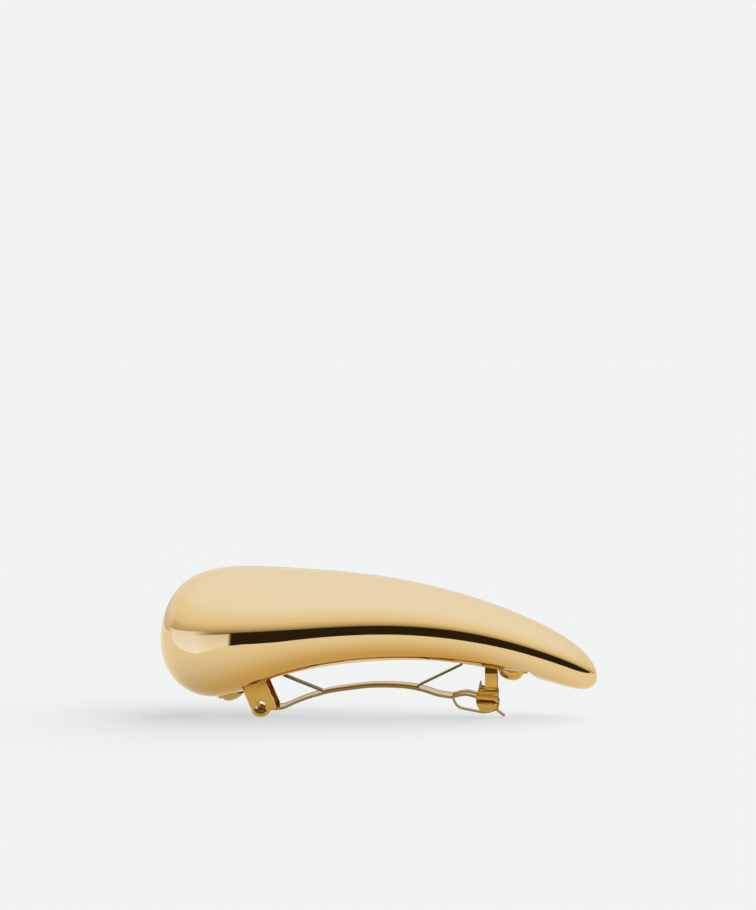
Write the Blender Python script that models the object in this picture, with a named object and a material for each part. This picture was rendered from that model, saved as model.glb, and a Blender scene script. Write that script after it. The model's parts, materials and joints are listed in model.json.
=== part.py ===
"""Hair clip: a hollow polished drop, arched to the head, riveted to a sprung clasp.

The long axis is X, with the bulb at -X and the toe at +X. Y is the width and the part is
symmetric about Y = 0. Z = 0 is the surface that the clip stands on. All sizes are in metres.
"""

import math

import bmesh
import bpy
import numpy as np
from mathutils import Matrix, Vector

# The drop
BODY_LENGTH = 0.0900
BODY_WIDTH = 0.0296
BODY_HEIGHT = 0.0305
SHELL_WALL = 0.0009

# Lines of the drop at nine places from bulb to toe, as shares of its height or half width
TOP_SHARES = (0.511, 0.845, 0.995, 0.994, 0.946, 0.829, 0.655, 0.465, 0.275)
WAIST_SHARES = (0.511, 0.544, 0.577, 0.610, 0.636, 0.597, 0.479, 0.351, 0.275)
BOTTOM_SHARES = (0.511, 0.219, 0.128, 0.323, 0.421, 0.397, 0.276, 0.194, 0.275)
WIDTH_SHARES = (0.0, 0.622, 0.959, 0.986, 0.797, 0.615, 0.453, 0.284, 0.0)
UPPER_FULLNESS_SHARE = 0.05
LOWER_FULLNESS_SHARE = 0.40

# Faceting of the drop: ribs along it and points around each rib
OUTER_RIBS = 60
OUTER_RIB_POINTS = 32
INNER_RIBS = 26
INNER_RIB_POINTS = 16
CHANNEL_STEPS = 6
SEAT_STEPS = 26
FLOOR_STEPS = 30
MERGE_DISTANCE = 0.000001

# Half-round ends of the strips: the angles of their points, and the flat left at the very end
END_ANGLES = (12, 30, 48, 66, 90)
END_FLAT_SHARE = 0.02

# The seat for the clasp, an arch cut into the underside of the drop
SEAT_CROWN_X_SHARE = 0.0444
SEAT_CROWN_Z_SHARE = 0.4525
SEAT_RADIUS = 0.0750
SEAT_ARC_REACH = 0.0145
SEAT_STEP = 0.0004

# Clearances
SEAT_GAP = 0.0003
SIDE_GAP = 0.0003
RIVET_GAP = 0.0002
CUT_OVERRUN = 0.0020

# The base plate, its neck under the hinge rivet and its two ears
PLATE_LENGTH = 0.0643
PLATE_CENTRE_X_SHARE = -0.0128
PLATE_THICKNESS = 0.0006
PLATE_HALF_WIDTH = 0.0036
PLATE_NECK_HALF_WIDTH = 0.0032
PLATE_STEPS = 34
EAR_OUTER_Y = 0.0040
EAR_THICKNESS = 0.0006
EAR_LEFT = 0.0020
EAR_RIGHT = 0.0029
EAR_FOOT_RADIUS = 0.0022
EAR_FOOT_FLAT = 0.0009
EAR_HEEL_DROP = 0.0017
EAR_HEEL_ROUND = 0.0005
EAR_HEEL_ANGLE = 312
EAR_FILLET = 0.0024
EAR_SHOULDER_ROUND = 0.0012
EAR_BEND_ROUND = 0.0004
EAR_HOLE_RADIUS = 0.0011
RIVET_TO_EAR = 0.0042

# The back plate that closes the underside of the drop
BACK_HALF_WIDTH = 0.0046
BACK_HALF_LENGTH = 0.0225
BACK_THICKNESS = 0.0008
BACK_STEPS = 14

# Rivets
RIVET_END_MARGIN = 0.0029
RIVET_HEAD_RADIUS = 0.0026
RIVET_HEAD_HEIGHT = 0.0021
RIVET_SHANK_RADIUS = 0.0012
RIVET_UPSET_RADIUS = 0.0018
RIVET_UPSET_HEIGHT = 0.0007
RIVET_UPSET_CROWN_SHARE = 0.7
RIVET_SIDES = 24
RIVET_DOME_STEPS = 7

# The tongue
TONGUE_THICKNESS = 0.0005
TONGUE_HALF_WIDTH = 0.0031
TONGUE_RISE = 0.00664
TRUNNION_RADIUS = 0.00098
TROUGH_START_ANGLE = 175
TROUGH_END_ANGLE = 290
TROUGH_STEPS = 8
RAIL_INNER_Y = 0.0024
STRIP_HALF_WIDTH = 0.0007
TAIL_HALF_WIDTH = 0.0012

# The centre line of the tongue, as shares of pivot to latch distance and of the rise
TONGUE_LINE_SHARES = (
    (0.066, 0.250), (0.101, 0.303), (0.153, 0.480), (0.206, 0.627), (0.258, 0.740),
    (0.302, 0.823), (0.389, 0.922), (0.477, 0.992), (0.564, 1.000), (0.630, 0.974),
    (0.673, 0.930), (0.717, 0.855), (0.761, 0.749), (0.800, 0.685), (0.826, 0.655),
)
RAIL_LINE_SHARES = (
    (0.844, 0.680), (0.866, 0.712), (0.897, 0.690), (0.931, 0.622), (0.968, 0.618),
    (1.004, 0.660), (1.030, 0.655), (1.042, 0.570), (1.041, 0.440),
)
STRIP_LINE_SHARES = (
    (0.837, 0.560), (0.852, 0.430), (0.872, 0.335), (0.900, 0.270), (0.932, 0.205),
    (0.962, 0.152), (0.988, 0.150), (1.012, 0.180), (1.030, 0.225),
)
TAIL_LINE_SHARES = ((1.040, 0.275), (1.050, 0.160), (1.059, 0.017))
BAR_STEPS = 2

# The bow spring between tongue and plate
SPRING_THICKNESS = 0.0003
SPRING_HALF_WIDTH = 0.0014
SPRING_BEND_SHARES = (0.262, 0.672)
EAR_TO_SLOT = 0.0054
PRONG_TO_SLOT = 0.0064
SLOT_HALF_LENGTH = 0.0011

# The latch
LATCH_THICKNESS = 0.00045
RIVET_TO_PRONG = 0.00455
PRONG_HALF_WIDTH = 0.0013
PRONG_NOSE_HALF_WIDTH = 0.0014
PRONG_Y = 0.0017
PRONG_LEAN = 0.0004
NOSE_Y = 0.0026
NOSE_FOOT_Z = 0.0014
CATCH_GAP = 0.0004
PRONG_MIDDLE_SHARE = 0.5

# The catch nose, as shares of its reach outwards and of its depth below the catch
NOSE_LINE_SHARES = ((0.3, 0.0), (0.8, 0.12), (1.0, 0.4), (0.7, 0.75), (0.2, 1.0))

# Finish of the metal
GOLD_COLOUR = (0.83, 0.62, 0.31, 1.0)
GOLD_METALLIC_SHARE = 1.0
POLISHED_ROUGHNESS_SHARE = 0.06
STAMPED_ROUGHNESS_SHARE = 0.18
SMOOTH_ANGLE = math.radians(32)


def clear_scene():
    """Start from an empty scene."""
    for thing in list(bpy.data.objects):
        bpy.data.objects.remove(thing)


def closed_curve(values, places):
    """Smooth closed curve through evenly spaced values, read at the given places."""
    count = len(values)
    matrix = np.zeros((count, count))
    bend = np.zeros(count)
    for i in range(count):
        matrix[i, i] += 4
        matrix[i, i - 1] += 1
        matrix[i, (i + 1) % count] += 1
        bend[i] = 6 * (values[i - 1] - 2 * values[i] + values[(i + 1) % count])
    curve = np.linalg.solve(matrix, bend)
    whole = np.floor(places).astype(int)
    before = whole % count
    after = (before + 1) % count
    right = places - whole
    left = 1 - right
    straight = left * values[before] + right * values[after]
    return straight + ((left**3 - left) * curve[before] + (right**3 - right) * curve[after]) / 6


def drop_lines(inset, places):
    """Length place, half width, waist, top and bottom of the drop, drawn in by inset.

    Places run from 0 at the bulb end to the number of spans at the toe.
    """
    spans = len(TOP_SHARES) - 1
    inner = np.ones(spans + 1)
    inner[[0, -1]] = 0
    top = np.array(TOP_SHARES) * BODY_HEIGHT - inset * inner
    bottom = np.array(BOTTOM_SHARES) * BODY_HEIGHT + inset * inner
    waist = np.array(WAIST_SHARES) * BODY_HEIGHT
    width = np.array(WIDTH_SHARES) * BODY_WIDTH / 2 - inset * inner
    around = np.concatenate([top, bottom[-2:0:-1]])
    even_waist = np.concatenate([waist, waist[-2:0:-1]])
    odd_width = np.concatenate([width, -width[-2:0:-1]])
    length_x = -(BODY_LENGTH / 2 - inset) * np.cos(math.pi * places / spans)
    return (length_x, closed_curve(odd_width, places), closed_curve(even_waist, places),
            closed_curve(around, places), closed_curve(around, 2 * spans - places))


def drop_mesh(name, inset, ribs, rib_points):
    """Closed skin of the drop, drawn in by inset."""
    spans = len(TOP_SHARES) - 1
    places = np.linspace(0, spans, ribs + 1)
    xs, widths, waists, tops, bottoms = drop_lines(inset, places)
    shape = bmesh.new()
    rings = []
    for k in range(1, ribs):
        fade = math.sin(math.pi * k / ribs)**2
        ring = []
        for step in range(rib_points):
            turn = 2 * math.pi * step / rib_points
            up = math.sin(turn)
            across = math.cos(turn)
            if up >= 0:
                rise = (tops[k] - waists[k]) * up * (1 + UPPER_FULLNESS_SHARE * across**2 * fade)
            else:
                rise = (waists[k] - bottoms[k]) * up * (1 + LOWER_FULLNESS_SHARE * across**2 * fade)
            ring.append(shape.verts.new((xs[k], widths[k] * across, waists[k] + rise)))
        rings.append(ring)
    for ring, other in zip(rings, rings[1:]):
        for step in range(rib_points):
            after = (step + 1) % rib_points
            shape.faces.new((ring[step], ring[after], other[after], other[step]))
    for ring, place in ((rings[0], 0), (rings[-1], ribs)):
        pole = shape.verts.new((xs[place], 0, waists[place]))
        for step in range(rib_points):
            shape.faces.new((pole, ring[step], ring[(step + 1) % rib_points]))
    return finish_mesh(name, shape)


def finish_mesh(name, shape):
    """Turn a bmesh into an object with its faces pointing out."""
    bmesh.ops.recalc_face_normals(shape, faces=shape.faces)
    mesh = bpy.data.meshes.new(name)
    shape.to_mesh(mesh)
    shape.free()
    piece = bpy.data.objects.new(name, mesh)
    bpy.context.scene.collection.objects.link(piece)
    return piece


def prism(name, outline, near_y, far_y):
    """Closed prism of an outline given as (x, z), between two widths."""
    shape = bmesh.new()
    near = [shape.verts.new((x, near_y, z)) for x, z in outline]
    far = [shape.verts.new((x, far_y, z)) for x, z in outline]
    shape.faces.new(near)
    shape.faces.new(list(reversed(far)))
    for k in range(len(outline)):
        after = (k + 1) % len(outline)
        shape.faces.new((near[k], far[k], far[after], near[after]))
    return finish_mesh(name, shape)


def sheet(name, rows, thickness, left_out=()):
    """Closed sheet of even thickness.

    Each row lists (point, normal) pairs across the sheet, and left_out holds the (row, column)
    cells where the sheet is pierced.
    """
    shape = bmesh.new()
    upper = [[shape.verts.new(point + normal * thickness / 2) for point, normal in row] for row in rows]
    lower = [[shape.verts.new(point - normal * thickness / 2) for point, normal in row] for row in rows]
    cells = {(i, j) for i in range(len(rows) - 1) for j in range(len(rows[0]) - 1)} - set(left_out)
    for i, j in sorted(cells):
        corners = ((i, j), (i, j + 1), (i + 1, j + 1), (i + 1, j))
        neighbours = ((i - 1, j), (i, j + 1), (i + 1, j), (i, j - 1))
        shape.faces.new([upper[a][b] for a, b in corners])
        shape.faces.new([lower[a][b] for a, b in reversed(corners)])
        for k, neighbour in enumerate(neighbours):
            if neighbour not in cells:
                (a, b), (c, d) = corners[k], corners[(k + 1) % 4]
                shape.faces.new((upper[a][b], lower[a][b], lower[c][d], upper[c][d]))
    loose = [vert for vert in shape.verts if not vert.link_faces]
    bmesh.ops.delete(shape, geom=loose, context="VERTS")
    return finish_mesh(name, shape)


def line_normals(line):
    """Unit normals of a line of (x, z) points, to the left of its run."""
    normals = []
    for k in range(len(line)):
        before = Vector(line[max(k - 1, 0)])
        after = Vector(line[min(k + 1, len(line) - 1)])
        run = (after - before).normalized()
        normals.append(Vector((-run.y, run.x)))
    return normals


def strip_rows(line, edges):
    """Rows of a sheet that follows a line of (x, z) points, with a list of widths at each."""
    rows = []
    for (x, z), normal, widths in zip(line, line_normals(line), edges):
        across = Vector((normal.x, 0, normal.y))
        rows.append([(Vector((x, y, z)), across) for y in widths])
    return rows


def smooth_line(points, per_span):
    """Points on a smooth open curve through the given points, with more points between."""
    places = np.arange(len(points))
    table = np.array(points)
    slopes = np.gradient(table, axis=0)
    line = []
    for k in places[:-1]:
        for step in range(per_span):
            t = step / per_span
            line.append((2 * t**3 - 3 * t**2 + 1) * table[k] + (t**3 - 2 * t**2 + t) * slopes[k]
                        + (3 * t**2 - 2 * t**3) * table[k + 1] + (t**3 - t**2) * slopes[k + 1])
    line.append(table[-1])
    return [(float(x), float(z)) for x, z in line]


def use_tool(piece, tool, operation):
    """Cut a tool from a piece, or join it on, and remove the tool."""
    change = piece.modifiers.new(operation.title(), "BOOLEAN")
    change.operation = operation
    change.solver = "EXACT"
    change.object = tool
    bpy.context.view_layer.update()
    evaluated = piece.evaluated_get(bpy.context.evaluated_depsgraph_get())
    mesh = bpy.data.meshes.new_from_object(evaluated)
    piece.modifiers.clear()
    piece.data = mesh
    bpy.data.objects.remove(tool)


def seat_height(x):
    """Height of the seat arch at a place along the clip, straight past the arc's end."""
    crown_x = SEAT_CROWN_X_SHARE * BODY_LENGTH
    crown_z = SEAT_CROWN_Z_SHARE * BODY_HEIGHT
    reach = min(x - crown_x, SEAT_ARC_REACH)
    height = crown_z - SEAT_RADIUS + math.sqrt(SEAT_RADIUS**2 - reach**2)
    slope = -reach / math.sqrt(SEAT_RADIUS**2 - reach**2)
    return height + slope * (x - crown_x - reach)


def seat_normal(x):
    """Unit normal of the seat arch, pointing up, as (x, z)."""
    reach = min(x - SEAT_CROWN_X_SHARE * BODY_LENGTH, SEAT_ARC_REACH)
    lean = math.asin(reach / SEAT_RADIUS)
    return Vector((math.sin(lean), math.cos(lean)))


def seat_line(start_x, end_x, offset, count):
    """Points a set distance above the seat arch, evenly spaced along X."""
    line = []
    for k in range(count + 1):
        x = start_x + (end_x - start_x) * k / count
        normal = seat_normal(x)
        line.append((x + normal.x * offset, seat_height(x) + normal.y * offset))
    return line


PLATE_LEFT_X = PLATE_CENTRE_X_SHARE * BODY_LENGTH - PLATE_LENGTH / 2
PLATE_RIGHT_X = PLATE_LEFT_X + PLATE_LENGTH
HINGE_RIVET_X = PLATE_LEFT_X + RIVET_END_MARGIN
LATCH_RIVET_X = PLATE_RIGHT_X - RIVET_END_MARGIN
EAR_X = HINGE_RIVET_X + RIVET_TO_EAR
PRONG_X = LATCH_RIVET_X - RIVET_TO_PRONG
PLATE_UNDER = SEAT_GAP + PLATE_THICKNESS


def pivot_point():
    """Pivot of the tongue, as (x, z), square below the plate, with the ear's foot on the ground."""
    normal = seat_normal(EAR_X)
    root = Vector((EAR_X, seat_height(EAR_X))) - normal * PLATE_UNDER
    height = math.sqrt(EAR_FOOT_RADIUS**2 - (EAR_FOOT_FLAT / 2)**2)
    drop = (root.y - height) / normal.y
    return root - normal * drop, drop


def rounded_widths(places, half_width, start, end):
    """Half widths of a strip with half-round ends, at places along it."""
    widths = []
    for place in places:
        from_end = max(min(place - start, end - place), half_width * END_FLAT_SHARE)
        short = max(half_width - from_end, 0)
        widths.append(math.sqrt(half_width**2 - short**2))
    return widths


def even_places(start, end, count):
    """Evenly spaced places, both ends included."""
    return [start + (end - start) * k / count for k in range(count + 1)]


def end_places(start, end, half_width, middle_count):
    """Places along a strip, close together in its half-round ends."""
    ends = [half_width * (1 - math.cos(math.radians(angle))) for angle in END_ANGLES]
    left = [start + place for place in ends]
    right = [end - place for place in reversed(ends)]
    middle = [left[-1] + (right[0] - left[-1]) * k / middle_count for k in range(1, middle_count)]
    return left + middle + right


def arched_strip(name, places, half_widths, offset, thickness):
    """Sheet that follows the seat arch at a distance, with a half width at each place."""
    line = []
    for x in places:
        normal = seat_normal(x)
        line.append((x + normal.x * offset, seat_height(x) + normal.y * offset))
    return sheet(name, strip_rows(line, [(-w, w) for w in half_widths]), thickness)


def back_plate_outline(extra):
    """Places and half widths of the back plate, grown by extra on every side."""
    centre = SEAT_CROWN_X_SHARE * BODY_LENGTH - BACK_HALF_WIDTH
    half_width = BACK_HALF_WIDTH + extra
    start = centre - BACK_HALF_LENGTH - extra
    end = centre + BACK_HALF_LENGTH + extra
    places = end_places(start, end, half_width, BACK_STEPS)
    return places, rounded_widths(places, half_width, start, end)


def front_shell():
    """The hollow drop, with the clasp's seat, the heel channel, the opening and rivet holes."""
    shell = drop_mesh("front_shell", 0, OUTER_RIBS, OUTER_RIB_POINTS)
    hollow = drop_mesh("hollow", SHELL_WALL, INNER_RIBS, INNER_RIB_POINTS)
    seat_start = EAR_X - EAR_LEFT - SEAT_GAP
    seat_end = PLATE_RIGHT_X + SEAT_GAP
    channel_start = PLATE_LEFT_X - SEAT_GAP
    channel_places = even_places(channel_start, seat_start, CHANNEL_STEPS)
    seat_places = even_places(seat_start + SEAT_STEP, seat_end, SEAT_STEPS)
    half_widths = [PLATE_NECK_HALF_WIDTH + SIDE_GAP] * len(channel_places)
    half_widths += [BODY_WIDTH] * len(seat_places)
    seat_tool = arched_strip("seat_tool", channel_places + seat_places, half_widths,
                             -BODY_HEIGHT / 2, BODY_HEIGHT)
    floor_places = even_places(channel_start - SHELL_WALL, seat_end + SHELL_WALL, FLOOR_STEPS)
    floor_tool = arched_strip("floor_tool", floor_places, [BODY_WIDTH] * len(floor_places),
                              SHELL_WALL - BODY_HEIGHT / 2, BODY_HEIGHT)
    use_tool(hollow, floor_tool, "DIFFERENCE")
    use_tool(shell, seat_tool, "DIFFERENCE")
    use_tool(shell, hollow, "DIFFERENCE")
    places, half_widths = back_plate_outline(SIDE_GAP)
    opening = arched_strip("opening", places, half_widths, SHELL_WALL / 2, SHELL_WALL + 2 * CUT_OVERRUN)
    use_tool(shell, opening, "DIFFERENCE")
    for rivet_x in (HINGE_RIVET_X, LATCH_RIVET_X):
        hole = rivet_tool("hole", rivet_x)
        use_tool(shell, hole, "DIFFERENCE")
    return shell


def back_plate():
    """The plate that closes the underside of the drop, flush with the seat."""
    places, half_widths = back_plate_outline(0)
    return arched_strip("back_plate", places, half_widths, BACK_THICKNESS / 2, BACK_THICKNESS)


def rivet_frame(rivet_x):
    """Placement with its local Z along the rivet, and its origin on the seat."""
    normal = seat_normal(rivet_x)
    tilt = math.atan2(normal.x, normal.y)
    return Matrix.Translation((rivet_x, 0, seat_height(rivet_x))) @ Matrix.Rotation(tilt, 4, "Y")


def turned(name, profile, sides):
    """Closed turned solid of an (radius, height) profile that starts and ends on the axis."""
    shape = bmesh.new()
    verts = [shape.verts.new((radius, 0, height)) for radius, height in profile]
    edges = [shape.edges.new(pair) for pair in zip(verts, verts[1:])]
    bmesh.ops.spin(shape, geom=verts + edges, cent=(0, 0, 0), axis=(0, 0, 1), angle=2 * math.pi,
                   steps=sides, use_merge=True)
    bmesh.ops.remove_doubles(shape, verts=shape.verts, dist=MERGE_DISTANCE)
    return finish_mesh(name, shape)


def rivet_tool(name, rivet_x):
    """Cutter for a rivet's hole through plate and floor, with room inside for its upset end."""
    radius = RIVET_SHANK_RADIUS + RIVET_GAP
    pocket = RIVET_UPSET_RADIUS + SIDE_GAP
    low = -PLATE_UNDER - CUT_OVERRUN
    ledge = SHELL_WALL + SEAT_GAP / 2
    high = ledge + RIVET_UPSET_HEIGHT + SEAT_GAP
    profile = [(0, low), (radius, low), (radius, ledge), (pocket, ledge), (pocket, high), (0, high)]
    tool = turned(name, profile, RIVET_SIDES)
    tool.data.transform(rivet_frame(rivet_x))
    return tool


def rivet(name, rivet_x):
    """Domed head below the plate, shank through plate and floor, upset end inside the drop."""
    seat = -PLATE_UNDER - SEAT_GAP
    inside = SHELL_WALL + SEAT_GAP
    profile = [(0, inside + RIVET_UPSET_HEIGHT)]
    profile.append((RIVET_UPSET_RADIUS * RIVET_UPSET_CROWN_SHARE, inside + RIVET_UPSET_HEIGHT))
    profile.append((RIVET_UPSET_RADIUS, inside + RIVET_UPSET_HEIGHT / 2))
    profile.append((RIVET_UPSET_RADIUS, inside))
    profile.append((RIVET_SHANK_RADIUS, inside))
    profile.append((RIVET_SHANK_RADIUS, seat))
    for k in range(RIVET_DOME_STEPS):
        angle = math.pi / 2 * k / RIVET_DOME_STEPS
        profile.append((RIVET_HEAD_RADIUS * math.cos(angle), seat - RIVET_HEAD_HEIGHT * math.sin(angle)))
    profile.append((0, seat - RIVET_HEAD_HEIGHT))
    piece = turned(name, profile, RIVET_SIDES)
    piece.data.transform(rivet_frame(rivet_x))
    return piece


def arc(centre, radius, start, end, count):
    """Points on an arc, with angles in degrees from +X towards +Z."""
    points = []
    for k in range(count + 1):
        angle = math.radians(start + (end - start) * k / count)
        points.append((centre[0] + radius * math.cos(angle), centre[1] + radius * math.sin(angle)))
    return points


def ear_outline(drop):
    """Outline of an ear about its pivot, its height square to the plate and up."""
    top = drop + PLATE_THICKNESS / 2
    side_angle = math.degrees(math.asin(EAR_LEFT / EAR_FOOT_RADIUS))
    flat_angle = math.degrees(math.asin(EAR_FOOT_FLAT / 2 / EAR_FOOT_RADIUS))
    ground = -90 + math.degrees(math.atan2(seat_normal(EAR_X).x, seat_normal(EAR_X).y))
    shoulder = (-EAR_LEFT + EAR_SHOULDER_ROUND, drop - EAR_SHOULDER_ROUND)
    outline = [(shoulder[0], top)]
    outline += arc(shoulder, EAR_SHOULDER_ROUND, 90, 180, 4)
    outline += arc((0, 0), EAR_FOOT_RADIUS, 270 - side_angle, 360 + ground - flat_angle, 9)
    outline += arc((0, 0), EAR_FOOT_RADIUS, 360 + ground + flat_angle, EAR_HEEL_ANGLE, 2)
    heel = (EAR_RIGHT - EAR_HEEL_ROUND, -EAR_HEEL_DROP + EAR_HEEL_ROUND)
    outline += arc(heel, EAR_HEEL_ROUND, -90, 0, 3)
    outline += arc((EAR_RIGHT + EAR_FILLET, drop - EAR_FILLET), EAR_FILLET, 180, 90, 6)
    outline.append((EAR_RIGHT + EAR_FILLET, top))
    return outline


def ear(name, side):
    """One hinge ear, with its pivot hole and a rounded bend along its top."""
    pivot, drop = pivot_point()
    inner = side * (EAR_OUTER_Y - EAR_THICKNESS)
    outer = side * EAR_OUTER_Y
    piece = prism(name, ear_outline(drop), inner, outer)
    shape = bmesh.new()
    shape.from_mesh(piece.data)
    top = max(vert.co.z for vert in shape.verts)
    bend = [edge for edge in shape.edges
            if all(vert.co.z > top - MERGE_DISTANCE and abs(vert.co.y - outer) < MERGE_DISTANCE
                   for vert in edge.verts)]
    bmesh.ops.bevel(shape, geom=bend, offset=EAR_BEND_ROUND, segments=3, profile=0.5, affect="EDGES")
    shape.to_mesh(piece.data)
    shape.free()
    normal = seat_normal(EAR_X)
    tilt = math.atan2(normal.x, normal.y)
    piece.data.transform(Matrix.Translation((pivot.x, 0, pivot.y)) @ Matrix.Rotation(tilt, 4, "Y"))
    return piece


def base_plate():
    """The clasp's arched plate with both ears, rivet holes and spring slots."""
    neck_end = EAR_X - EAR_LEFT + EAR_SHOULDER_ROUND
    wide_start = neck_end + EAR_SHOULDER_ROUND
    places = end_places(PLATE_LEFT_X, PLATE_RIGHT_X, PLATE_HALF_WIDTH, PLATE_STEPS)
    rounds = rounded_widths(places, PLATE_HALF_WIDTH, PLATE_LEFT_X, PLATE_RIGHT_X)
    half_widths = []
    for x, half_width in zip(places, rounds):
        grown = min(max((x - neck_end) / (wide_start - neck_end), 0), 1)
        limit = PLATE_NECK_HALF_WIDTH + (PLATE_HALF_WIDTH - PLATE_NECK_HALF_WIDTH) * grown
        half_widths.append(min(half_width, limit))
    middle = -SEAT_GAP - PLATE_THICKNESS / 2
    plate = arched_strip("base_plate", places, half_widths, middle, PLATE_THICKNESS)
    pivot, _ = pivot_point()
    for side in (-1, 1):
        use_tool(plate, ear("ear", side), "UNION")
    reach = EAR_OUTER_Y + CUT_OVERRUN
    profile = [(0, -reach), (EAR_HOLE_RADIUS, -reach), (EAR_HOLE_RADIUS, reach), (0, reach)]
    hole = turned("hole", profile, RIVET_SIDES)
    hole.data.transform(Matrix.Translation((pivot.x, 0, pivot.y)) @ Matrix.Rotation(math.pi / 2, 4, "X"))
    use_tool(plate, hole, "DIFFERENCE")
    for rivet_x in (HINGE_RIVET_X, LATCH_RIVET_X):
        use_tool(plate, rivet_tool("hole", rivet_x), "DIFFERENCE")
    for slot_x in slot_places():
        start = slot_x - SLOT_HALF_LENGTH
        end = slot_x + SLOT_HALF_LENGTH
        below = seat_line(start, end, -PLATE_UNDER - CUT_OVERRUN, 1)
        above = seat_line(start, end, CUT_OVERRUN, 1)
        side = SPRING_HALF_WIDTH + SIDE_GAP
        slot = prism("slot", below + list(reversed(above)), -side, side)
        use_tool(plate, slot, "DIFFERENCE")
    return plate


def slot_places():
    """Places of the two slots that take the ends of the bow spring."""
    return EAR_X + EAR_TO_SLOT, PRONG_X - PRONG_TO_SLOT


def tongue_point(share, rise_share):
    """A point of the tongue, from shares of the pivot to latch distance and of the rise."""
    pivot, _ = pivot_point()
    return pivot.x + (PRONG_X - pivot.x) * share, TONGUE_RISE * rise_share


def tongue():
    """The tongue: trunnion trough, arched bar, slit latch end and thumb tail."""
    pivot, _ = pivot_point()
    trough = arc(pivot, TRUNNION_RADIUS - TONGUE_THICKNESS / 2, TROUGH_START_ANGLE, TROUGH_END_ANGLE,
                 TROUGH_STEPS)
    bar = smooth_line([trough[-1]] + [tongue_point(*pair) for pair in TONGUE_LINE_SHARES], BAR_STEPS)[1:]
    start = trough + bar
    rails = [tongue_point(*pair) for pair in RAIL_LINE_SHARES]
    strip = [tongue_point(*pair) for pair in STRIP_LINE_SHARES]
    tail = [tongue_point(*pair) for pair in TAIL_LINE_SHARES]
    rail_line = start + rails + tail
    strip_line = start + strip + tail
    rail_normals = line_normals(rail_line)
    strip_normals = line_normals(strip_line)
    rows = []
    for k, (rail, middle) in enumerate(zip(rail_line, strip_line)):
        outer = EAR_OUTER_Y if k < len(trough) - 1 else TONGUE_HALF_WIDTH
        inner = RAIL_INNER_Y
        centre = STRIP_HALF_WIDTH
        if k >= len(rail_line) - 2:
            outer = TAIL_HALF_WIDTH
            inner = (TAIL_HALF_WIDTH + STRIP_HALF_WIDTH) / 2
        row = []
        for y in (-outer, -inner, -centre, centre, inner, outer):
            on_rail = abs(y) > centre
            x, z = rail if on_rail else middle
            normal = rail_normals[k] if on_rail else strip_normals[k]
            row.append((Vector((x, y, z)), Vector((normal.x, 0, normal.y))))
        rows.append(row)
    first = len(start) - 1
    slits = [(i, j) for i in range(first, first + len(rails) + 1) for j in (1, 3)]
    return sheet("tongue", rows, TONGUE_THICKNESS, slits)


def bow_spring():
    """The bow spring: its middle lies over the tongue and its legs reach into the plate's slots."""
    lift = TONGUE_THICKNESS / 2 + SEAT_GAP + SPRING_THICKNESS / 2
    low, high = SPRING_BEND_SHARES
    bar = smooth_line([tongue_point(*pair) for pair in TONGUE_LINE_SHARES], BAR_STEPS)
    bar_normals = line_normals(bar)
    pivot, _ = pivot_point()
    reach = PRONG_X - pivot.x
    middle = [(x + normal.x * lift, z + normal.y * lift) for (x, z), normal in zip(bar, bar_normals)
              if low < (x - pivot.x) / reach < high]
    ends = []
    for slot_x in slot_places():
        normal = seat_normal(slot_x)
        offset = SEAT_GAP + PLATE_THICKNESS / 2
        ends.append((slot_x - normal.x * offset, seat_height(slot_x) - normal.y * offset))
    line = [ends[0]] + middle + [ends[1]]
    widths = [(-SPRING_HALF_WIDTH, SPRING_HALF_WIDTH)] * len(line)
    return sheet("bow_spring", strip_rows(line, widths), SPRING_THICKNESS)


def plate_under_height(x):
    """Height of the base plate's lower face at a place along the clip."""
    normal = seat_normal(x)
    return seat_height(x) - PLATE_UNDER / normal.y


def latch_bridge():
    """The web of the latch spring, flat under the plate."""
    offset = -PLATE_UNDER - SEAT_GAP - LATCH_THICKNESS / 2
    line = seat_line(PRONG_X - PRONG_HALF_WIDTH, PRONG_X + PRONG_HALF_WIDTH, offset, 3)
    side = PRONG_Y + LATCH_THICKNESS / 2
    return sheet("latch_bridge", strip_rows(line, [(-side, side)] * len(line)), LATCH_THICKNESS)


def prong_root():
    """Height of the prongs' upper end, where they flex."""
    return plate_under_height(PRONG_X + PRONG_HALF_WIDTH) - SEAT_GAP - LATCH_THICKNESS - SEAT_GAP


def prong(name, side):
    """One prong of the latch, with its catch nose turned out below the tongue's rail."""
    rail_z = min(tongue_point(*pair)[1] for pair in RAIL_LINE_SHARES[3:7])
    catch_z = rail_z - TONGUE_THICKNESS / 2 - CATCH_GAP - LATCH_THICKNESS / 2
    depth = catch_z - NOSE_FOOT_Z
    out = NOSE_Y - PRONG_Y
    root_z = prong_root()
    line = [(PRONG_Y, root_z), (PRONG_Y, root_z + (catch_z - root_z) * PRONG_MIDDLE_SHARE)]
    line += [(PRONG_Y, catch_z + LATCH_THICKNESS)]
    line += [(PRONG_Y + out * across_share, catch_z - depth * down_share)
             for across_share, down_share in NOSE_LINE_SHARES]
    normals = line_normals(line)
    rows = []
    for (y, z), normal in zip(line, normals):
        fall = (root_z - z) / (root_z - NOSE_FOOT_Z)
        middle = PRONG_X - PRONG_LEAN * fall
        half = PRONG_HALF_WIDTH if z > catch_z else PRONG_NOSE_HALF_WIDTH
        across = Vector((0, side * normal.x, normal.y))
        rows.append([(Vector((middle + x, side * y, z)), across) for x in (-half, half)])
    return sheet(name, rows, LATCH_THICKNESS)


def set_origin(piece, point):
    """Move a piece's origin onto its joint's axis without moving the piece."""
    place = Vector(point)
    piece.data.transform(Matrix.Translation(-place))
    piece.location = place


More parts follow.
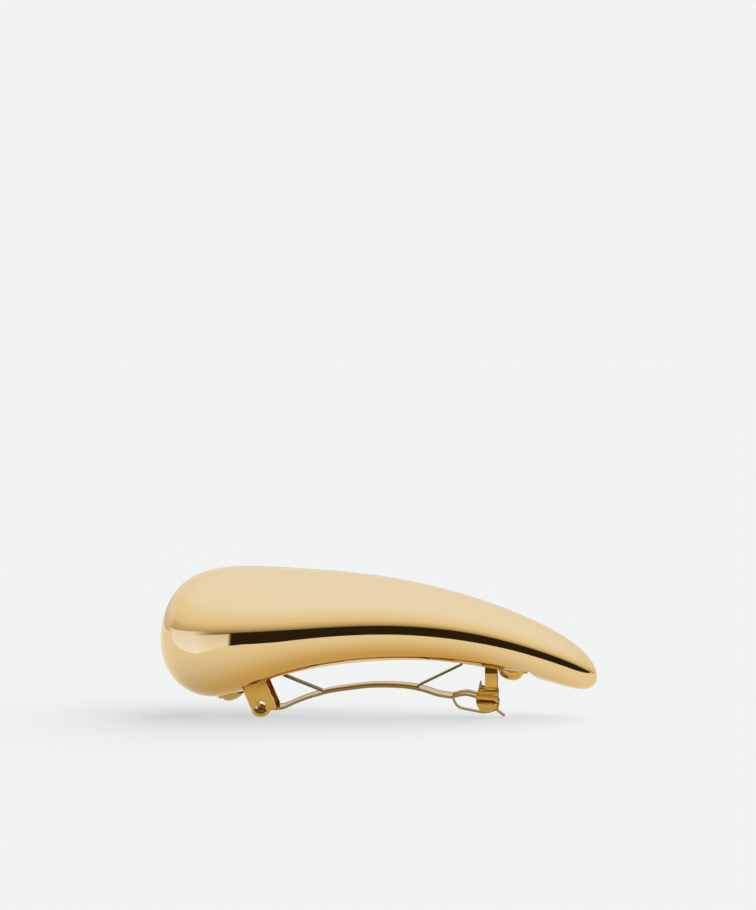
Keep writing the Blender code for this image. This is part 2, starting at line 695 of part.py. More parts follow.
def finish_piece(piece, roughness):
    """Give a piece its own metal and smooth shading."""
    material = bpy.data.materials.new(piece.name)
    material.use_nodes = True
    shader = material.node_tree.nodes["Principled BSDF"]
    shader.inputs["Base Color"].default_value = GOLD_COLOUR
    shader.inputs["Metallic"].default_value = GOLD_METALLIC_SHARE
    shader.inputs["Roughness"].default_value = roughness
    piece.data.materials.clear()
    piece.data.materials.append(material)
    piece.data.shade_smooth()
    piece.data.set_sharp_from_angle(angle=SMOOTH_ANGLE)


def build():
    """Build every piece of the hair clip."""
    clear_scene()
    pivot, _ = pivot_point()
    for piece in (front_shell(), back_plate()):
        finish_piece(piece, POLISHED_ROUGHNESS_SHARE)
    for piece in (base_plate(), bow_spring(), latch_bridge()):
        finish_piece(piece, STAMPED_ROUGHNESS_SHARE)
    for name, rivet_x in (("rivet_hinge_end", HINGE_RIVET_X), ("rivet_latch_end", LATCH_RIVET_X)):
        finish_piece(rivet(name, rivet_x), POLISHED_ROUGHNESS_SHARE)
    bar = tongue()
    set_origin(bar, (pivot.x, 0, pivot.y))
    finish_piece(bar, STAMPED_ROUGHNESS_SHARE)
    for name, side in (("latch_prong_near", -1), ("latch_prong_far", 1)):
        arm = prong(name, side)
        set_origin(arm, (PRONG_X, side * PRONG_Y, prong_root()))
        finish_piece(arm, STAMPED_ROUGHNESS_SHARE)


build()
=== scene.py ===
"""Polished drop-shaped hair clip on its sprung clasp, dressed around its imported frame."""

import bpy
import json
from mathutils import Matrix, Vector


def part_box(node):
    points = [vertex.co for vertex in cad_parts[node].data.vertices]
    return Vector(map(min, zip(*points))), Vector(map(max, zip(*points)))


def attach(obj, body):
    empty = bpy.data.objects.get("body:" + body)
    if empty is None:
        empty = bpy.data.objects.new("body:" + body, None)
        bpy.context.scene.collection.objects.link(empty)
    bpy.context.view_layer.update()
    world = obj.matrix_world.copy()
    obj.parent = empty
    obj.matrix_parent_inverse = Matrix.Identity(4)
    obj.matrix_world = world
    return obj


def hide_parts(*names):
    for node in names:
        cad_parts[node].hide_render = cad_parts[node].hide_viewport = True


bl_info = {
    "name": "Drop Hair Clip",
    "version": (1, 0, 0),
    "blender": (4, 5, 0),
    "location": "View3D > Sidebar > Hair Clip",
    "description": "Builds a mirror-polished drop-shaped hair clip and its studio",
    "category": "Add Mesh",
}

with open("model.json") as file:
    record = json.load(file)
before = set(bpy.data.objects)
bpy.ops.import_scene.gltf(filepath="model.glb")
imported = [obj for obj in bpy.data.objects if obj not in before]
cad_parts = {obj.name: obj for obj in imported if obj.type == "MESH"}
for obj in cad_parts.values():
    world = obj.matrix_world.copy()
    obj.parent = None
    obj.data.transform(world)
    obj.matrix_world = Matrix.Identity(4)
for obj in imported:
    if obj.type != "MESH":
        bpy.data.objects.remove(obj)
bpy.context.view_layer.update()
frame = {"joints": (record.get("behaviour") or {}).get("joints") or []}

import json
import math

import bmesh
import bpy
import numpy as np
from bpy.props import FloatProperty, FloatVectorProperty, PointerProperty
from mathutils import Matrix, Vector

JOINTS = {joint["name"]: joint for joint in frame["joints"]}
PIVOT = Vector(JOINTS["tongue_hinge"]["pos_m"])
PRONG_ROOT = Vector(JOINTS["prong_far_squeeze"]["pos_m"])
SHELL_LOW, SHELL_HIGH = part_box("front_shell")

# Lines of the drop at nine places from bulb to toe, as shares of its height or half width
TOP_SHARES = (0.511, 0.845, 0.995, 0.994, 0.946, 0.829, 0.655, 0.465, 0.275)
WAIST_SHARES = (0.511, 0.544, 0.577, 0.610, 0.636, 0.597, 0.479, 0.351, 0.275)
BOTTOM_SHARES = (0.511, 0.219, 0.128, 0.290, 0.388, 0.364, 0.273, 0.194, 0.275)
WIDTH_SHARES = (0.0, 0.622, 0.959, 0.986, 0.797, 0.615, 0.453, 0.284, 0.0)
UPPER_FULLNESS_SHARE = 0.05
LOWER_FULLNESS_SHARE = 0.40

# The seat arch under the drop, and the lip that the drop's sides keep along the plate
SEAT_CROWN_X_SHARE = 0.0444
SEAT_CROWN_Z_SHARE = 0.4525
SEAT_ARC_REACH = 0.0145
SEAT_RUN_OUT = 0.0015
SEAT_LIP = 0.0010
LIP_START = 0.0013
SEAT_LIP_LEFT_FADE = 0.0015
SEAT_LIP_RIGHT_FADE = 0.0060

# Places along the clasp
PLATE_LENGTH = 0.0643
PLATE_CENTRE_X_SHARE = -0.0128
RIVET_END_MARGIN = 0.0029
RIVET_TO_EAR = 0.0042
LATCH_RIVET_SHIFT = 0.0005
EAR_TO_SLOT = 0.0054
PRONG_TO_SLOT = 0.0064
SLOT_HALF_LENGTH = 0.0011
PLATE_LEFT_X = PLATE_CENTRE_X_SHARE * (SHELL_HIGH.x - SHELL_LOW.x) - PLATE_LENGTH / 2
PLATE_RIGHT_X = PLATE_LEFT_X + PLATE_LENGTH
HINGE_RIVET_X = PLATE_LEFT_X + RIVET_END_MARGIN
LATCH_RIVET_X = PLATE_RIGHT_X - RIVET_END_MARGIN - LATCH_RIVET_SHIFT
EAR_X = HINGE_RIVET_X + RIVET_TO_EAR
PRONG_X = PRONG_ROOT.x
SLOT_PLACES = (EAR_X + EAR_TO_SLOT, PRONG_X - PRONG_TO_SLOT)

# The base plate: half widths, flanges folded down along its sides, and where the painted highlight along
# them ends
PLATE_HALF_WIDTH = 0.0036
PLATE_NECK_HALF_WIDTH = 0.0032
FLANGE_RUN = 0.00015
FLANGE_DEPTH = 0.00110
FLANGE_CENTRE_X = -0.003
FLANGE_REACH = 0.031
FLANGE_ROUND = 0.00022
FLANGE_TILT_SHARE = 0.15
HIGHLIGHT_END_X = 0.0165

# The hinge ears: outline, hole, and the shallow dish round it with the part that is painted with shade
EAR_OUTER_Y = 0.0040
EAR_LEFT = 0.0020
EAR_RIGHT = 0.0029
EAR_FOOT_FLAT = 0.0009
EAR_FOOT_RADIUS = math.hypot(PIVOT.z, EAR_FOOT_FLAT / 2)
EAR_HEEL_DROP = 0.0017
EAR_HEEL_ROUND = 0.0005
EAR_HEEL_ANGLE = 312
EAR_FILLET = 0.0012
EAR_SHOULDER_ROUND = 0.0009
EAR_HOLE_RADIUS = 0.0011
EAR_DISH_RADIUS = 0.00155
EAR_DISH_SLOPE = 0.08
DISH_SHADE_SHARE = 0.45

# The back plate inside the drop's opening
BACK_HALF_WIDTH = 0.0046
BACK_HALF_LENGTH = 0.0225
BACK_THICKNESS = 0.0008

# Rivets
RIVET_HEAD_RADIUS = 0.0026
RIVET_SHANK_RADIUS = 0.0012
RIVET_UPSET_RADIUS = 0.0018
RIVET_UPSET_HEIGHT = 0.0007
RIVET_LIP = 0.00018

# The tongue: its rolled trunnion, bar, rails, middle strip and tail, and its raised rims
TONGUE_HALF_WIDTH = 0.0031
TRUNNION_RADIUS = 0.00098
TROUGH_START_ANGLE = 215
TROUGH_END_ANGLE = 290
TROUGH_THICKNESS_SHARE = 0.5
TROUGH_NARROW_ROWS = 2
RAIL_INNER_Y = 0.0024
STRIP_HALF_WIDTH = 0.0007
TAIL_HALF_WIDTH = 0.0012
TAIL_TIP_HALF_WIDTH = 0.0004
TONGUE_SOLID_THICKNESS = 0.0005
TONGUE_RIM_WIDTH = 0.00022
TONGUE_RIM = 0.00012

# Past this place and above this height the tongue's edges keep the strip's bright colour, without painted
# shade
CROSSING_X = 0.0204
CROSSING_Z = 0.0034

# Widths of the bow spring and the latch
SPRING_HALF_WIDTH = 0.0014
PRONG_HALF_WIDTH = 0.00125
PRONG_Y = 0.0017

# Where the tongue narrows: the most that its middle strip takes of its half width, and the least place of
# the rails' inner edges as a share of the strip's
STRIP_MOST_SHARE = 1 / 3
RAIL_LEAST_SHARE = 1.2

# A prong from root to foot: place outwards, height, half width, roundness and shift along the clip
PRONG_LINE = (
    (0.00162, 0.00760, 0.00128, 0.0, 0.00005), (0.00156, 0.00690, 0.00128, 0.0, 0.00003),
    (0.00150, 0.00620, 0.00134, 0.0, -0.00005), (0.00160, 0.00565, 0.00180, 0.00006, -0.00040),
    (0.00176, 0.00510, 0.00210, 0.00012, -0.00062), (0.00168, 0.00450, 0.00224, 0.00008, -0.00078),
    (0.00176, 0.00390, 0.00224, 0.00010, -0.00082), (0.00222, 0.00350, 0.00216, 0.00034, -0.00082),
    (0.00256, 0.00306, 0.00206, 0.00056, -0.00082), (0.00262, 0.00258, 0.00190, 0.00060, -0.00080),
    (0.00246, 0.00206, 0.00164, 0.00050, -0.00080), (0.00212, 0.00162, 0.00124, 0.00035, -0.00082),
    (0.00174, 0.00130, 0.00078, 0.00015, -0.00085),
)
LATCH_SHIFT = -0.00022

# Heights between which a prong is folded; there its faces are painted with shade
PRONG_SHADED_FOLDS = ((0.0058, 0.0053), (0.0037, 0.0030))

# Guard tab at a prong's left edge, as (x, z), and its place outwards
GUARD_Y = 0.0014
GUARD = ((0.02060, 0.0054), (0.02078, 0.0060), (0.02098, 0.0071), (0.02106, 0.0073), (0.02122, 0.0073),
         (0.02136, 0.0063), (0.02230, 0.0061), (0.02230, 0.0054))

# The tongue's centre line, as shares of pivot to latch distance and of the rise
TONGUE_LINE_SHARES = (
    (0.066, 0.235), (0.101, 0.275), (0.153, 0.445), (0.206, 0.590), (0.258, 0.702),
    (0.302, 0.784), (0.389, 0.883), (0.477, 0.957), (0.564, 0.968), (0.630, 0.942),
    (0.673, 0.895), (0.717, 0.818), (0.761, 0.716), (0.800, 0.668), (0.826, 0.650),
)
RAIL_LINE_SHARES = (
    (0.844, 0.680), (0.866, 0.720), (0.892, 0.735), (0.920, 0.690), (0.948, 0.640),
    (0.980, 0.615), (1.008, 0.600), (1.0215, 0.540), (1.0262, 0.430),
)
STRIP_LINE_SHARES = (
    (0.835, 0.500), (0.848, 0.350), (0.868, 0.270), (0.900, 0.225), (0.932, 0.180),
    (0.960, 0.152), (0.984, 0.165), (1.000, 0.200), (1.010, 0.225),
)
TAIL_LINE_SHARES = ((1.022, 0.235), (1.036, 0.140), (1.0535, 0.046))

# The bow spring: the ends of its middle as shares of the same distance, its knees as (x, z), and how much
# thicker its legs look
SPRING_BEND_SHARES = (0.260, 0.680)
SPRING_KNEES = ((-0.0193, 0.00816), (0.0173, 0.01078))
SPRING_LEG_SHARE = 1.5

# Fineness of the visible meshes
DROP_RIBS = 200
DROP_RIB_POINTS = 128
HOLLOW_RIBS = 60
HOLLOW_RIB_POINTS = 40
CHANNEL_STEPS = 16
SEAT_STEPS = 90
SEAT_STEP = 0.0004
PLATE_STEPS = 110
BACK_STEPS = 60
FLANGE_ROUND_STEPS = 4
EAR_SHOULDER_STEPS = 10
EAR_FOOT_STEPS = 26
EAR_FOOT_END_STEPS = 6
EAR_HEEL_STEPS = 8
EAR_FILLET_STEPS = 14
TURN_STEPS = 48
DOME_STEPS = 14
TROUGH_STEPS = 18
LINE_STEPS = 6
BEND_STEPS = 6
LEG_STEPS = 8
PRONG_COLUMNS = 12
SMOOTH_ANGLE = math.radians(35)
MERGE_DISTANCE = 1e-6

# Shares: flat end and rounded edge of a strip, slope that tells its edge from its face, reach of a cutter
END_FLAT_SHARE = 0.01
EDGE_SHARE = 0.12
FACE_SHARE = 0.5
CUT_SHARE = 0.125

# Columns of the tongue's sheet that are slit open, and those along its rims
TONGUE_SLIT_COLUMNS = (2, 5)
TONGUE_RIM_COLUMNS = (0, 7)

# Place of each finish among the materials of a piece
FLAT_PLACE = 0
EDGE_SHADE_PLACE = 1
SHADE_PLACE = 2
HIGHLIGHT_PLACE = 3
SPRING_LEG_SHADE_PLACE = 1
PRONG_SHADE_PLACE = 1

# Finishes: roughness, scale and height of the waviness, how far the marks vary, and tint at a grazing angle
MIRROR_FINISH = (0.03, 60.0, 0.000004, 0.25)
STRIP_FINISH = (0.16, 400.0, 0.000006, 0.35)
FLANGE_HIGHLIGHT_FINISH = (0.16, 400.0, 0.000004, 0.35)
EDGE_SHADE_FINISH = (0.30, 900.0, 0.000004, 0.35, (0.85, 0.68, 0.40))
SPRING_LEG_SHADE_FINISH = (0.30, 900.0, 0.000004, 0.35, (0.72, 0.62, 0.38))
FOLD_SHADE_FINISH = (0.35, 900.0, 0.000004, 0.35, (0.60, 0.40, 0.15))
RIVET_FINISH = (0.12, 700.0, 0.000008, 0.35)

# Noise of a finish's tone, of its marks and of its waviness, and the tone's deeper end
NOISE_SCALE_SHARES = (0.3, 9, 1)
NOISE_DETAILS = (2.0, 4.0, 1.0)
DEEP_TONE_SHARES = (0.975, 0.955, 0.92)

# Painted shade and painted reflection: a deeper gold painted on the drop over its seat, in place of the
# shade and the gold-in-gold reflection there. Heights above the seat where it starts and ends, higher
# towards the bulb, and the stretch where it fades towards the toe
SEAT_SHADE_TINT = (0.88, 0.66, 0.24)
SEAT_SHADE_START = -0.0006
SEAT_SHADE_END = 0.0044
BULB_SHADE_END = 0.0088
BULB_SHADE_X = (-0.034, -0.006)
TOE_SHADE_X = (0.020, 0.033)
TOE_SHADE_SHARE = 0.2

# Photograph frame and camera
PHOTO_HEIGHT = 910
PHOTO_GROUND_ROW = 715.4
SENSOR = 36.0
NEAREST = 0.01
FARTHEST = 20.0

# Floor, and the front edge of the table top that shows in the metal, from left to right
FLOOR_HALF = 3.0
FLOOR_ROUGHNESS = 0.9
TABLE_EDGE = (
    (-3.0, 1.0), (-0.165, 0.012), (-0.108, -0.011), (-0.080, -0.0235), (-0.060, -0.031),
    (-0.048, -0.057), (-0.035, -0.060), (-0.016, -0.053), (0.015, -0.052), (0.036, -0.041),
    (0.043, -0.034), (0.056, -0.026), (0.120, -0.012), (3.0, -0.012),
)

# Light of the surround by elevation in degrees: what all sides share above, then each side
CEILING_LIGHT = ((28.0, (0.90, 0.93, 0.92)), (50.0, (0.93, 1.04, 1.30)), (90.0, (0.93, 1.06, 1.40)))
UPPER_LIGHT = ((16.0, (0.84, 0.82, 0.72)), *CEILING_LIGHT)
ROOM_LIGHT = ((0.5, (0.30, 0.25, 0.14)), (6.0, (0.60, 0.54, 0.37)), *UPPER_LIGHT)
FRONT_LIGHT = ((-90.0, (0.024, 0.019, 0.012)), (-0.5, (0.024, 0.019, 0.012)), *ROOM_LIGHT)
SIDE_LIGHT = (
    (-90.0, (1.07, 1.22, 1.72)), (-28.0, (1.07, 1.20, 1.66)), (-14.0, (0.97, 1.10, 1.55)),
    (3.0, (0.90, 0.99, 1.35)), (4.2, (0.52, 0.48, 0.34)), (8.0, (0.62, 0.57, 0.42)), *UPPER_LIGHT,
)
INNER_LIGHT = (
    (-90.0, (0.98, 1.08, 1.40)), (-16.0, (0.92, 1.00, 1.20)), (-3.0, (0.80, 0.84, 0.92)),
    (-1.5, (0.26, 0.21, 0.11)), *ROOM_LIGHT,
)
BACK_LIGHT = (
    (-90.0, (0.86, 0.88, 0.92)), (-4.0, (0.86, 0.88, 0.92)), (0.0, (0.66, 0.65, 0.60)),
    (5.0, (0.70, 0.70, 0.66)), (12.0, (0.86, 0.88, 0.90)), *CEILING_LIGHT,
)

# Sides of the surround, from the back round by the bulb: where each starts in degrees from the front towards
# the toe, half the width of its blend, and its light. The first two are a white card beside the bulb
SURROUND_SIDES = (
    (-108.0, 9.0, SIDE_LIGHT), (-46.0, 16.0, INNER_LIGHT), (-21.3, 1.5, FRONT_LIGHT),
    (110.0, 1.5, BACK_LIGHT),
)
SURROUND_RADIUS = 2.0
SURROUND_STRENGTH = 1.6
SURROUND_SEGMENTS = 64
SURROUND_RINGS = 32


def size_setting(name, description, default):
    """Setting for a real size."""
    return FloatProperty(name=name, description=description, default=default, unit="LENGTH")


def angle_setting(name, description, degrees):
    """Setting for an angle, with its default given in degrees."""
    return FloatProperty(name=name, description=description, default=math.radians(degrees), unit="ROTATION")


def colour_setting(name, description, default):
    """Setting for a colour."""
    return FloatVectorProperty(name=name, description=description, default=default, size=3, subtype="COLOR")


class DropShape(bpy.types.PropertyGroup):
    """Sizes and colour of the polished drop."""

    length: size_setting("Length", "Length from bulb to toe", SHELL_HIGH.x - SHELL_LOW.x)
    width: size_setting("Width", "Widest place across the bulb", 0.02958)
    height: size_setting("Height", "Height of the top above the ground", 0.0305)
    wall: size_setting("Wall", "Thickness of the hollow shell", 0.0009)
    seat_radius: size_setting("Seat Radius", "Radius of the arch that the clasp sits in", 0.0750)
    colour: colour_setting("Gold", "Colour of the polished plating", (0.88, 0.63, 0.31))


class ClaspShape(bpy.types.PropertyGroup):
    """Sizes and colours of the stamped clasp."""

    plate: size_setting("Plate", "Thickness of the base plate", 0.00085)
    seat_gap: size_setting("Seat Gap", "Gap between the drop and the base plate", 0.00005)
    ear: size_setting("Ear", "Thickness of the hinge ears", 0.0006)
    hinge_head: size_setting("Hinge Rivet Head", "Height of the hinge rivet's head", 0.0016)
    latch_head: size_setting("Latch Rivet Head", "Height of the latch rivet's head", 0.0021)
    tongue: size_setting("Tongue", "Thickness of the tongue", 0.00042)
    tongue_rise: size_setting("Tongue Rise", "Height of the tongue's arch above ground", 0.00664)
    spring: size_setting("Spring", "Thickness of the bow spring", 0.00022)
    latch: size_setting("Latch", "Thickness of the latch strip", 0.00040)
    gap: size_setting("Gap", "Clearance between stacked strips", 0.0003)
    contact: size_setting("Contact", "Hairline left between strips that touch", 0.00004)
    edge: size_setting("Edge", "Rounding of the stamped edges", 0.00009)
    colour: colour_setting("Stamped Gold", "Colour of the stamped strip", (0.70, 0.40, 0.085))
    # Partly painted: a duller colour for the sheared edges, darkened further as a painted dark reflection
    edge_shade_colour: colour_setting("Sheared Edge and Shade", "Colour of the strip's duller edges", (0.42, 0.27, 0.08))
    # Painted highlight: brighter gold on the plate's flange, in place of the bright floor it reflects
    flange_highlight_colour: colour_setting("Flange Highlight", "Colour of the plate's highlighted rim", (0.90, 0.66, 0.30))
    # Painted shade on the bow spring's legs, where they run under the plate
    spring_leg_shade_colour: colour_setting("Spring", "Colour of the tempered spring strip", (0.20, 0.16, 0.07))
    # Painted shade for the folds, the latch's bridge, the ear's dish and the tongue's roll
    fold_shade_colour: colour_setting("Fold Shade", "Colour inside the sharp folds", (0.19, 0.09, 0.01))


class StudioLook(bpy.types.PropertyGroup):
    """Camera and light of the plain studio."""

    azimuth: angle_setting("Azimuth", "Camera angle round the clip", 4.5)
    elevation: angle_setting("Elevation", "Angle at which the camera looks down", 8.0)
    lens: FloatProperty(name="Lens", description="Focal length in millimetres", default=120.0)
    pixel: size_setting("Pixel", "Real size of one photograph pixel at the clip", 0.000206)
    floor: colour_setting("Floor", "Colour of floor and backdrop", (0.885, 0.902, 0.894))
    shadow_share: FloatProperty(name="Shadow", description="Share of the floor's light that the clip shades",
                                default=0.42, subtype="FACTOR")
    softness: angle_setting("Softness", "Angle that the overhead light fills", 84.0)
    light_lean: angle_setting("Light Lean", "Lean of the light towards the toe", 42.0)
    light_back: angle_setting("Light Back", "Lean of the light away from the camera", 16.0)


def shapes(context):
    """Settings of the drop and of the clasp."""
    return context.scene.hair_clip_drop, context.scene.hair_clip_clasp


def closed_curve(values, places):
    """Smooth closed curve through evenly spaced values, read at the given places."""
    count = len(values)
    matrix = np.zeros((count, count))
    bend = np.zeros(count)
    for i in range(count):
        matrix[i, i] += 4
        matrix[i, i - 1] += 1
        matrix[i, (i + 1) % count] += 1
        bend[i] = 6 * (values[i - 1] - 2 * values[i] + values[(i + 1) % count])
    curve = np.linalg.solve(matrix, bend)
    whole = np.floor(places).astype(int)
    before = whole % count
    after = (before + 1) % count
    right = places - whole
    left = 1 - right
    straight = left * values[before] + right * values[after]
    return straight + ((left**3 - left) * curve[before] + (right**3 - right) * curve[after]) / 6


def drop_lines(drop, inset, places):
    """Length place, half width, waist, top and bottom of the drop, drawn in by inset."""
    spans = len(TOP_SHARES) - 1
    inner = np.ones(spans + 1)
    inner[[0, -1]] = 0
    top = np.array(TOP_SHARES) * drop.height - inset * inner
    bottom = np.array(BOTTOM_SHARES) * drop.height + inset * inner
    waist = np.array(WAIST_SHARES) * drop.height
    width = np.array(WIDTH_SHARES) * drop.width / 2 - inset * inner
    around = np.concatenate([top, bottom[-2:0:-1]])
    even_waist = np.concatenate([waist, waist[-2:0:-1]])
    odd_width = np.concatenate([width, -width[-2:0:-1]])
    length_x = -(drop.length / 2 - inset) * np.cos(math.pi * places / spans)
    return (length_x, closed_curve(odd_width, places), closed_curve(even_waist, places),
            closed_curve(around, places), closed_curve(around, 2 * spans - places))


def drop_mesh(name, drop, inset, ribs, rib_points):
    """Closed skin of the drop, drawn in by inset."""
    spans = len(TOP_SHARES) - 1
    places = np.linspace(0, spans, ribs + 1)
    xs, widths, waists, tops, bottoms = drop_lines(drop, inset, places)
    shape = bmesh.new()
    rings = []
    for k in range(1, ribs):
        fade = math.sin(math.pi * k / ribs)**2
        ring = []
        for step in range(rib_points):
            turn = 2 * math.pi * step / rib_points
            up = math.sin(turn)
            across = math.cos(turn)
            if up >= 0:
                rise = (tops[k] - waists[k]) * up * (1 + UPPER_FULLNESS_SHARE * across**2 * fade)
            else:
                rise = (waists[k] - bottoms[k]) * up * (1 + LOWER_FULLNESS_SHARE * across**2 * fade)
            ring.append(shape.verts.new((xs[k], widths[k] * across, waists[k] + rise)))
        rings.append(ring)
    for ring, other in zip(rings, rings[1:]):
        for step in range(rib_points):
            after = (step + 1) % rib_points
            shape.faces.new((ring[step], ring[after], other[after], other[step]))
    for ring, place in ((rings[0], 0), (rings[-1], ribs)):
        pole = shape.verts.new((xs[place], 0, waists[place]))
        for step in range(rib_points):
            shape.faces.new((pole, ring[step], ring[(step + 1) % rib_points]))
    return finish_mesh(name, shape)


def finish_mesh(name, shape):
    """Turn a bmesh into an object with its faces pointing out."""
    bmesh.ops.recalc_face_normals(shape, faces=shape.faces)
    mesh = bpy.data.meshes.new(name)
    shape.to_mesh(mesh)
    shape.free()
    piece = bpy.data.objects.new(name, mesh)
    bpy.context.scene.collection.objects.link(piece)
    return piece


def sheet(name, rows, thickness, left_out=(), edge_columns=None):
    """Closed sheet of even thickness over rows of (point, normal) pairs, without the cells left out.

    Where edge columns are given, they and the sheet's sides take its second material.
    """
    shape = bmesh.new()
    upper = [[shape.verts.new(point + normal * thickness / 2) for point, normal in row] for row in rows]
    lower = [[shape.verts.new(point - normal * thickness / 2) for point, normal in row] for row in rows]
    cells = {(i, j) for i in range(len(rows) - 1) for j in range(len(rows[0]) - 1)} - set(left_out)
    for i, j in sorted(cells):
        corners = ((i, j), (i, j + 1), (i + 1, j + 1), (i + 1, j))
        neighbours = ((i - 1, j), (i, j + 1), (i + 1, j), (i, j - 1))
        face = shape.faces.new([upper[a][b] for a, b in corners])
        face.material_index = int(j in (edge_columns or ()))
        shape.faces.new([lower[a][b] for a, b in reversed(corners)])
        for k, neighbour in enumerate(neighbours):
            if neighbour not in cells:
                (a, b), (c, d) = corners[k], corners[(k + 1) % 4]
                side = shape.faces.new((upper[a][b], lower[a][b], lower[c][d], upper[c][d]))
                side.material_index = int(edge_columns is not None)
    loose = [vert for vert in shape.verts if not vert.link_faces]
    bmesh.ops.delete(shape, geom=loose, context="VERTS")
    return finish_mesh(name, shape)


def hump(x, centre, reach):
    """Smooth hump along the clip: one at its centre, nothing beyond its reach."""
    return max(1 - ((x - centre) / reach)**2, 0)**2


def raise_rims(row, height, thickness):
    """Raise the upper side of both ends of a sheet's row and leave its lower side."""
    for end in (0, -1):
        point, up = row[end]
        row[end] = (point + up * height / 2, up * (1 + height / thickness))


def line_normals(line):
    """Unit normals of a line of (x, z) points, to the left of its run."""
    normals = []
    for k in range(len(line)):
        before = Vector(line[max(k - 1, 0)])
        after = Vector(line[min(k + 1, len(line) - 1)])
        run = (after - before).normalized()
        normals.append(Vector((-run.y, run.x)))
    return normals


def strip_rows(line, edges):
    """Rows of a sheet that follows a line of (x, z) points, with a list of widths at each."""
    rows = []
    for (x, z), normal, widths in zip(line, line_normals(line), edges):
        across = Vector((normal.x, 0, normal.y))
        rows.append([(Vector((x, y, z)), across) for y in widths])
    return rows


def smooth_line(points):
    """Rows on a smooth open curve through the given rows of numbers, with more rows between."""
    table = np.array(points, float)
    slopes = np.gradient(table, axis=0)
    rows = []
    for k in range(len(table) - 1):
        for step in range(LINE_STEPS):
            t = step / LINE_STEPS
            rows.append((2 * t**3 - 3 * t**2 + 1) * table[k] + (t**3 - 2 * t**2 + t) * slopes[k]
                        + (3 * t**2 - 2 * t**3) * table[k + 1] + (t**3 - t**2) * slopes[k + 1])
    rows.append(table[-1])
    return [row.tolist() for row in rows]


def use_tool(piece, tool, operation):
    """Cut a tool from a piece, or join it on, and remove the tool."""
    change = piece.modifiers.new(operation.title(), "BOOLEAN")
    change.operation = operation
    change.solver = "EXACT"
    change.object = tool
    bpy.context.view_layer.update()
    evaluated = piece.evaluated_get(bpy.context.evaluated_depsgraph_get())
    mesh = bpy.data.meshes.new_from_object(evaluated)
    piece.modifiers.clear()
    piece.data = mesh
    bpy.data.objects.remove(tool)


def cut(piece, *tools):
    """Cut tools from a piece, one after the other."""
    for tool in tools:
        use_tool(piece, tool, "DIFFERENCE")


def round_edges(piece, width, segments=2):
    """Round the sharp edges of a stamped piece."""
    bevel = piece.modifiers.new("Rounded Edges", "BEVEL")
    bevel.width = width
    bevel.segments = segments
    bevel.limit_method = "ANGLE"
    bevel.angle_limit = SMOOTH_ANGLE
    bevel.harden_normals = True


def seat_height(drop, x):
    """Height of the seat arch at a place along the clip, straight past the arc's end."""
    crown_x = SEAT_CROWN_X_SHARE * drop.length
    crown_z = SEAT_CROWN_Z_SHARE * drop.height
    reach = min(x - crown_x, SEAT_ARC_REACH)
    fall = math.sqrt(drop.seat_radius**2 - reach**2)
    return crown_z - drop.seat_radius + fall - reach / fall * (x - crown_x - reach)


def seat_normal(drop, x):
    """Unit normal of the seat arch, pointing up, as (x, z)."""
    lean = math.asin(min(x - SEAT_CROWN_X_SHARE * drop.length, SEAT_ARC_REACH) / drop.seat_radius)
    return Vector((math.sin(lean), math.cos(lean)))


def seat_line(drop, places, offset):
    """Points a set distance above the seat arch."""
    line = []
    for x in places:
        normal = seat_normal(drop, x)
        line.append((x + normal.x * offset, seat_height(drop, x) + normal.y * offset))
    return line


def arched_strip(name, drop, places, half_widths, offset, thickness):
    """Sheet that follows the seat arch at a distance, with a half width at each place."""
    rows = strip_rows(seat_line(drop, places, offset), [(-w, w) for w in half_widths])
    return sheet(name, rows, thickness)


def patch(name, grid, thickness):
    """Closed sheet over a grid of points, with its normals taken from the grid."""
    rows = []
    for i, line in enumerate(grid):
        row = []
        for j, point in enumerate(line):
            along = grid[min(i + 1, len(grid) - 1)][j] - grid[max(i - 1, 0)][j]
            across = line[min(j + 1, len(line) - 1)] - line[max(j - 1, 0)]
            row.append((point, across.cross(along).normalized()))
        rows.append(row)
    return sheet(name, rows, thickness, edge_columns=())


def prism(name, outline, near_y, far_y):
    """Closed prism of an outline given as (x, z), between two widths."""
    shape = bmesh.new()
    near = [shape.verts.new((x, near_y, z)) for x, z in outline]
    far = [shape.verts.new((x, far_y, z)) for x, z in outline]
    shape.faces.new(near)
    shape.faces.new(list(reversed(far)))
    for k in range(len(outline)):
        after = (k + 1) % len(outline)
        shape.faces.new((near[k], far[k], far[after], near[after]))
    return finish_mesh(name, shape)


def turned(name, profile):
    """Closed turned solid of a (radius, height) profile that starts and ends on the axis."""
    shape = bmesh.new()
    verts = [shape.verts.new((radius, 0, height)) for radius, height in profile]
    edges = [shape.edges.new(pair) for pair in zip(verts, verts[1:])]
    bmesh.ops.spin(shape, geom=verts + edges, cent=(0, 0, 0), axis=(0, 0, 1), angle=2 * math.pi,
                   steps=TURN_STEPS, use_merge=True)
    bmesh.ops.remove_doubles(shape, verts=shape.verts, dist=MERGE_DISTANCE)
    return finish_mesh(name, shape)


def arc(centre, radius, start, end, count):
    """Points on an arc, with angles in degrees from +X towards +Z."""
    points = []
    for k in range(count + 1):
        angle = math.radians(start + (end - start) * k / count)
        points.append((centre[0] + radius * math.cos(angle), centre[1] + radius * math.sin(angle)))
    return points


def rounded_places(start, end, half_width, steps):
    """Places along a strip with half-round ends, close together at the ends, with their half widths."""
    places = []
    half_widths = []
    for k in range(steps + 1):
        place = start + (end - start) * (1 - math.cos(math.pi * k / steps)) / 2
        from_end = max(min(place - start, end - place), half_width * END_FLAT_SHARE)
        short = max(half_width - from_end, 0)
        places.append(place)
        half_widths.append(math.sqrt(half_width**2 - short**2))
    return places, half_widths


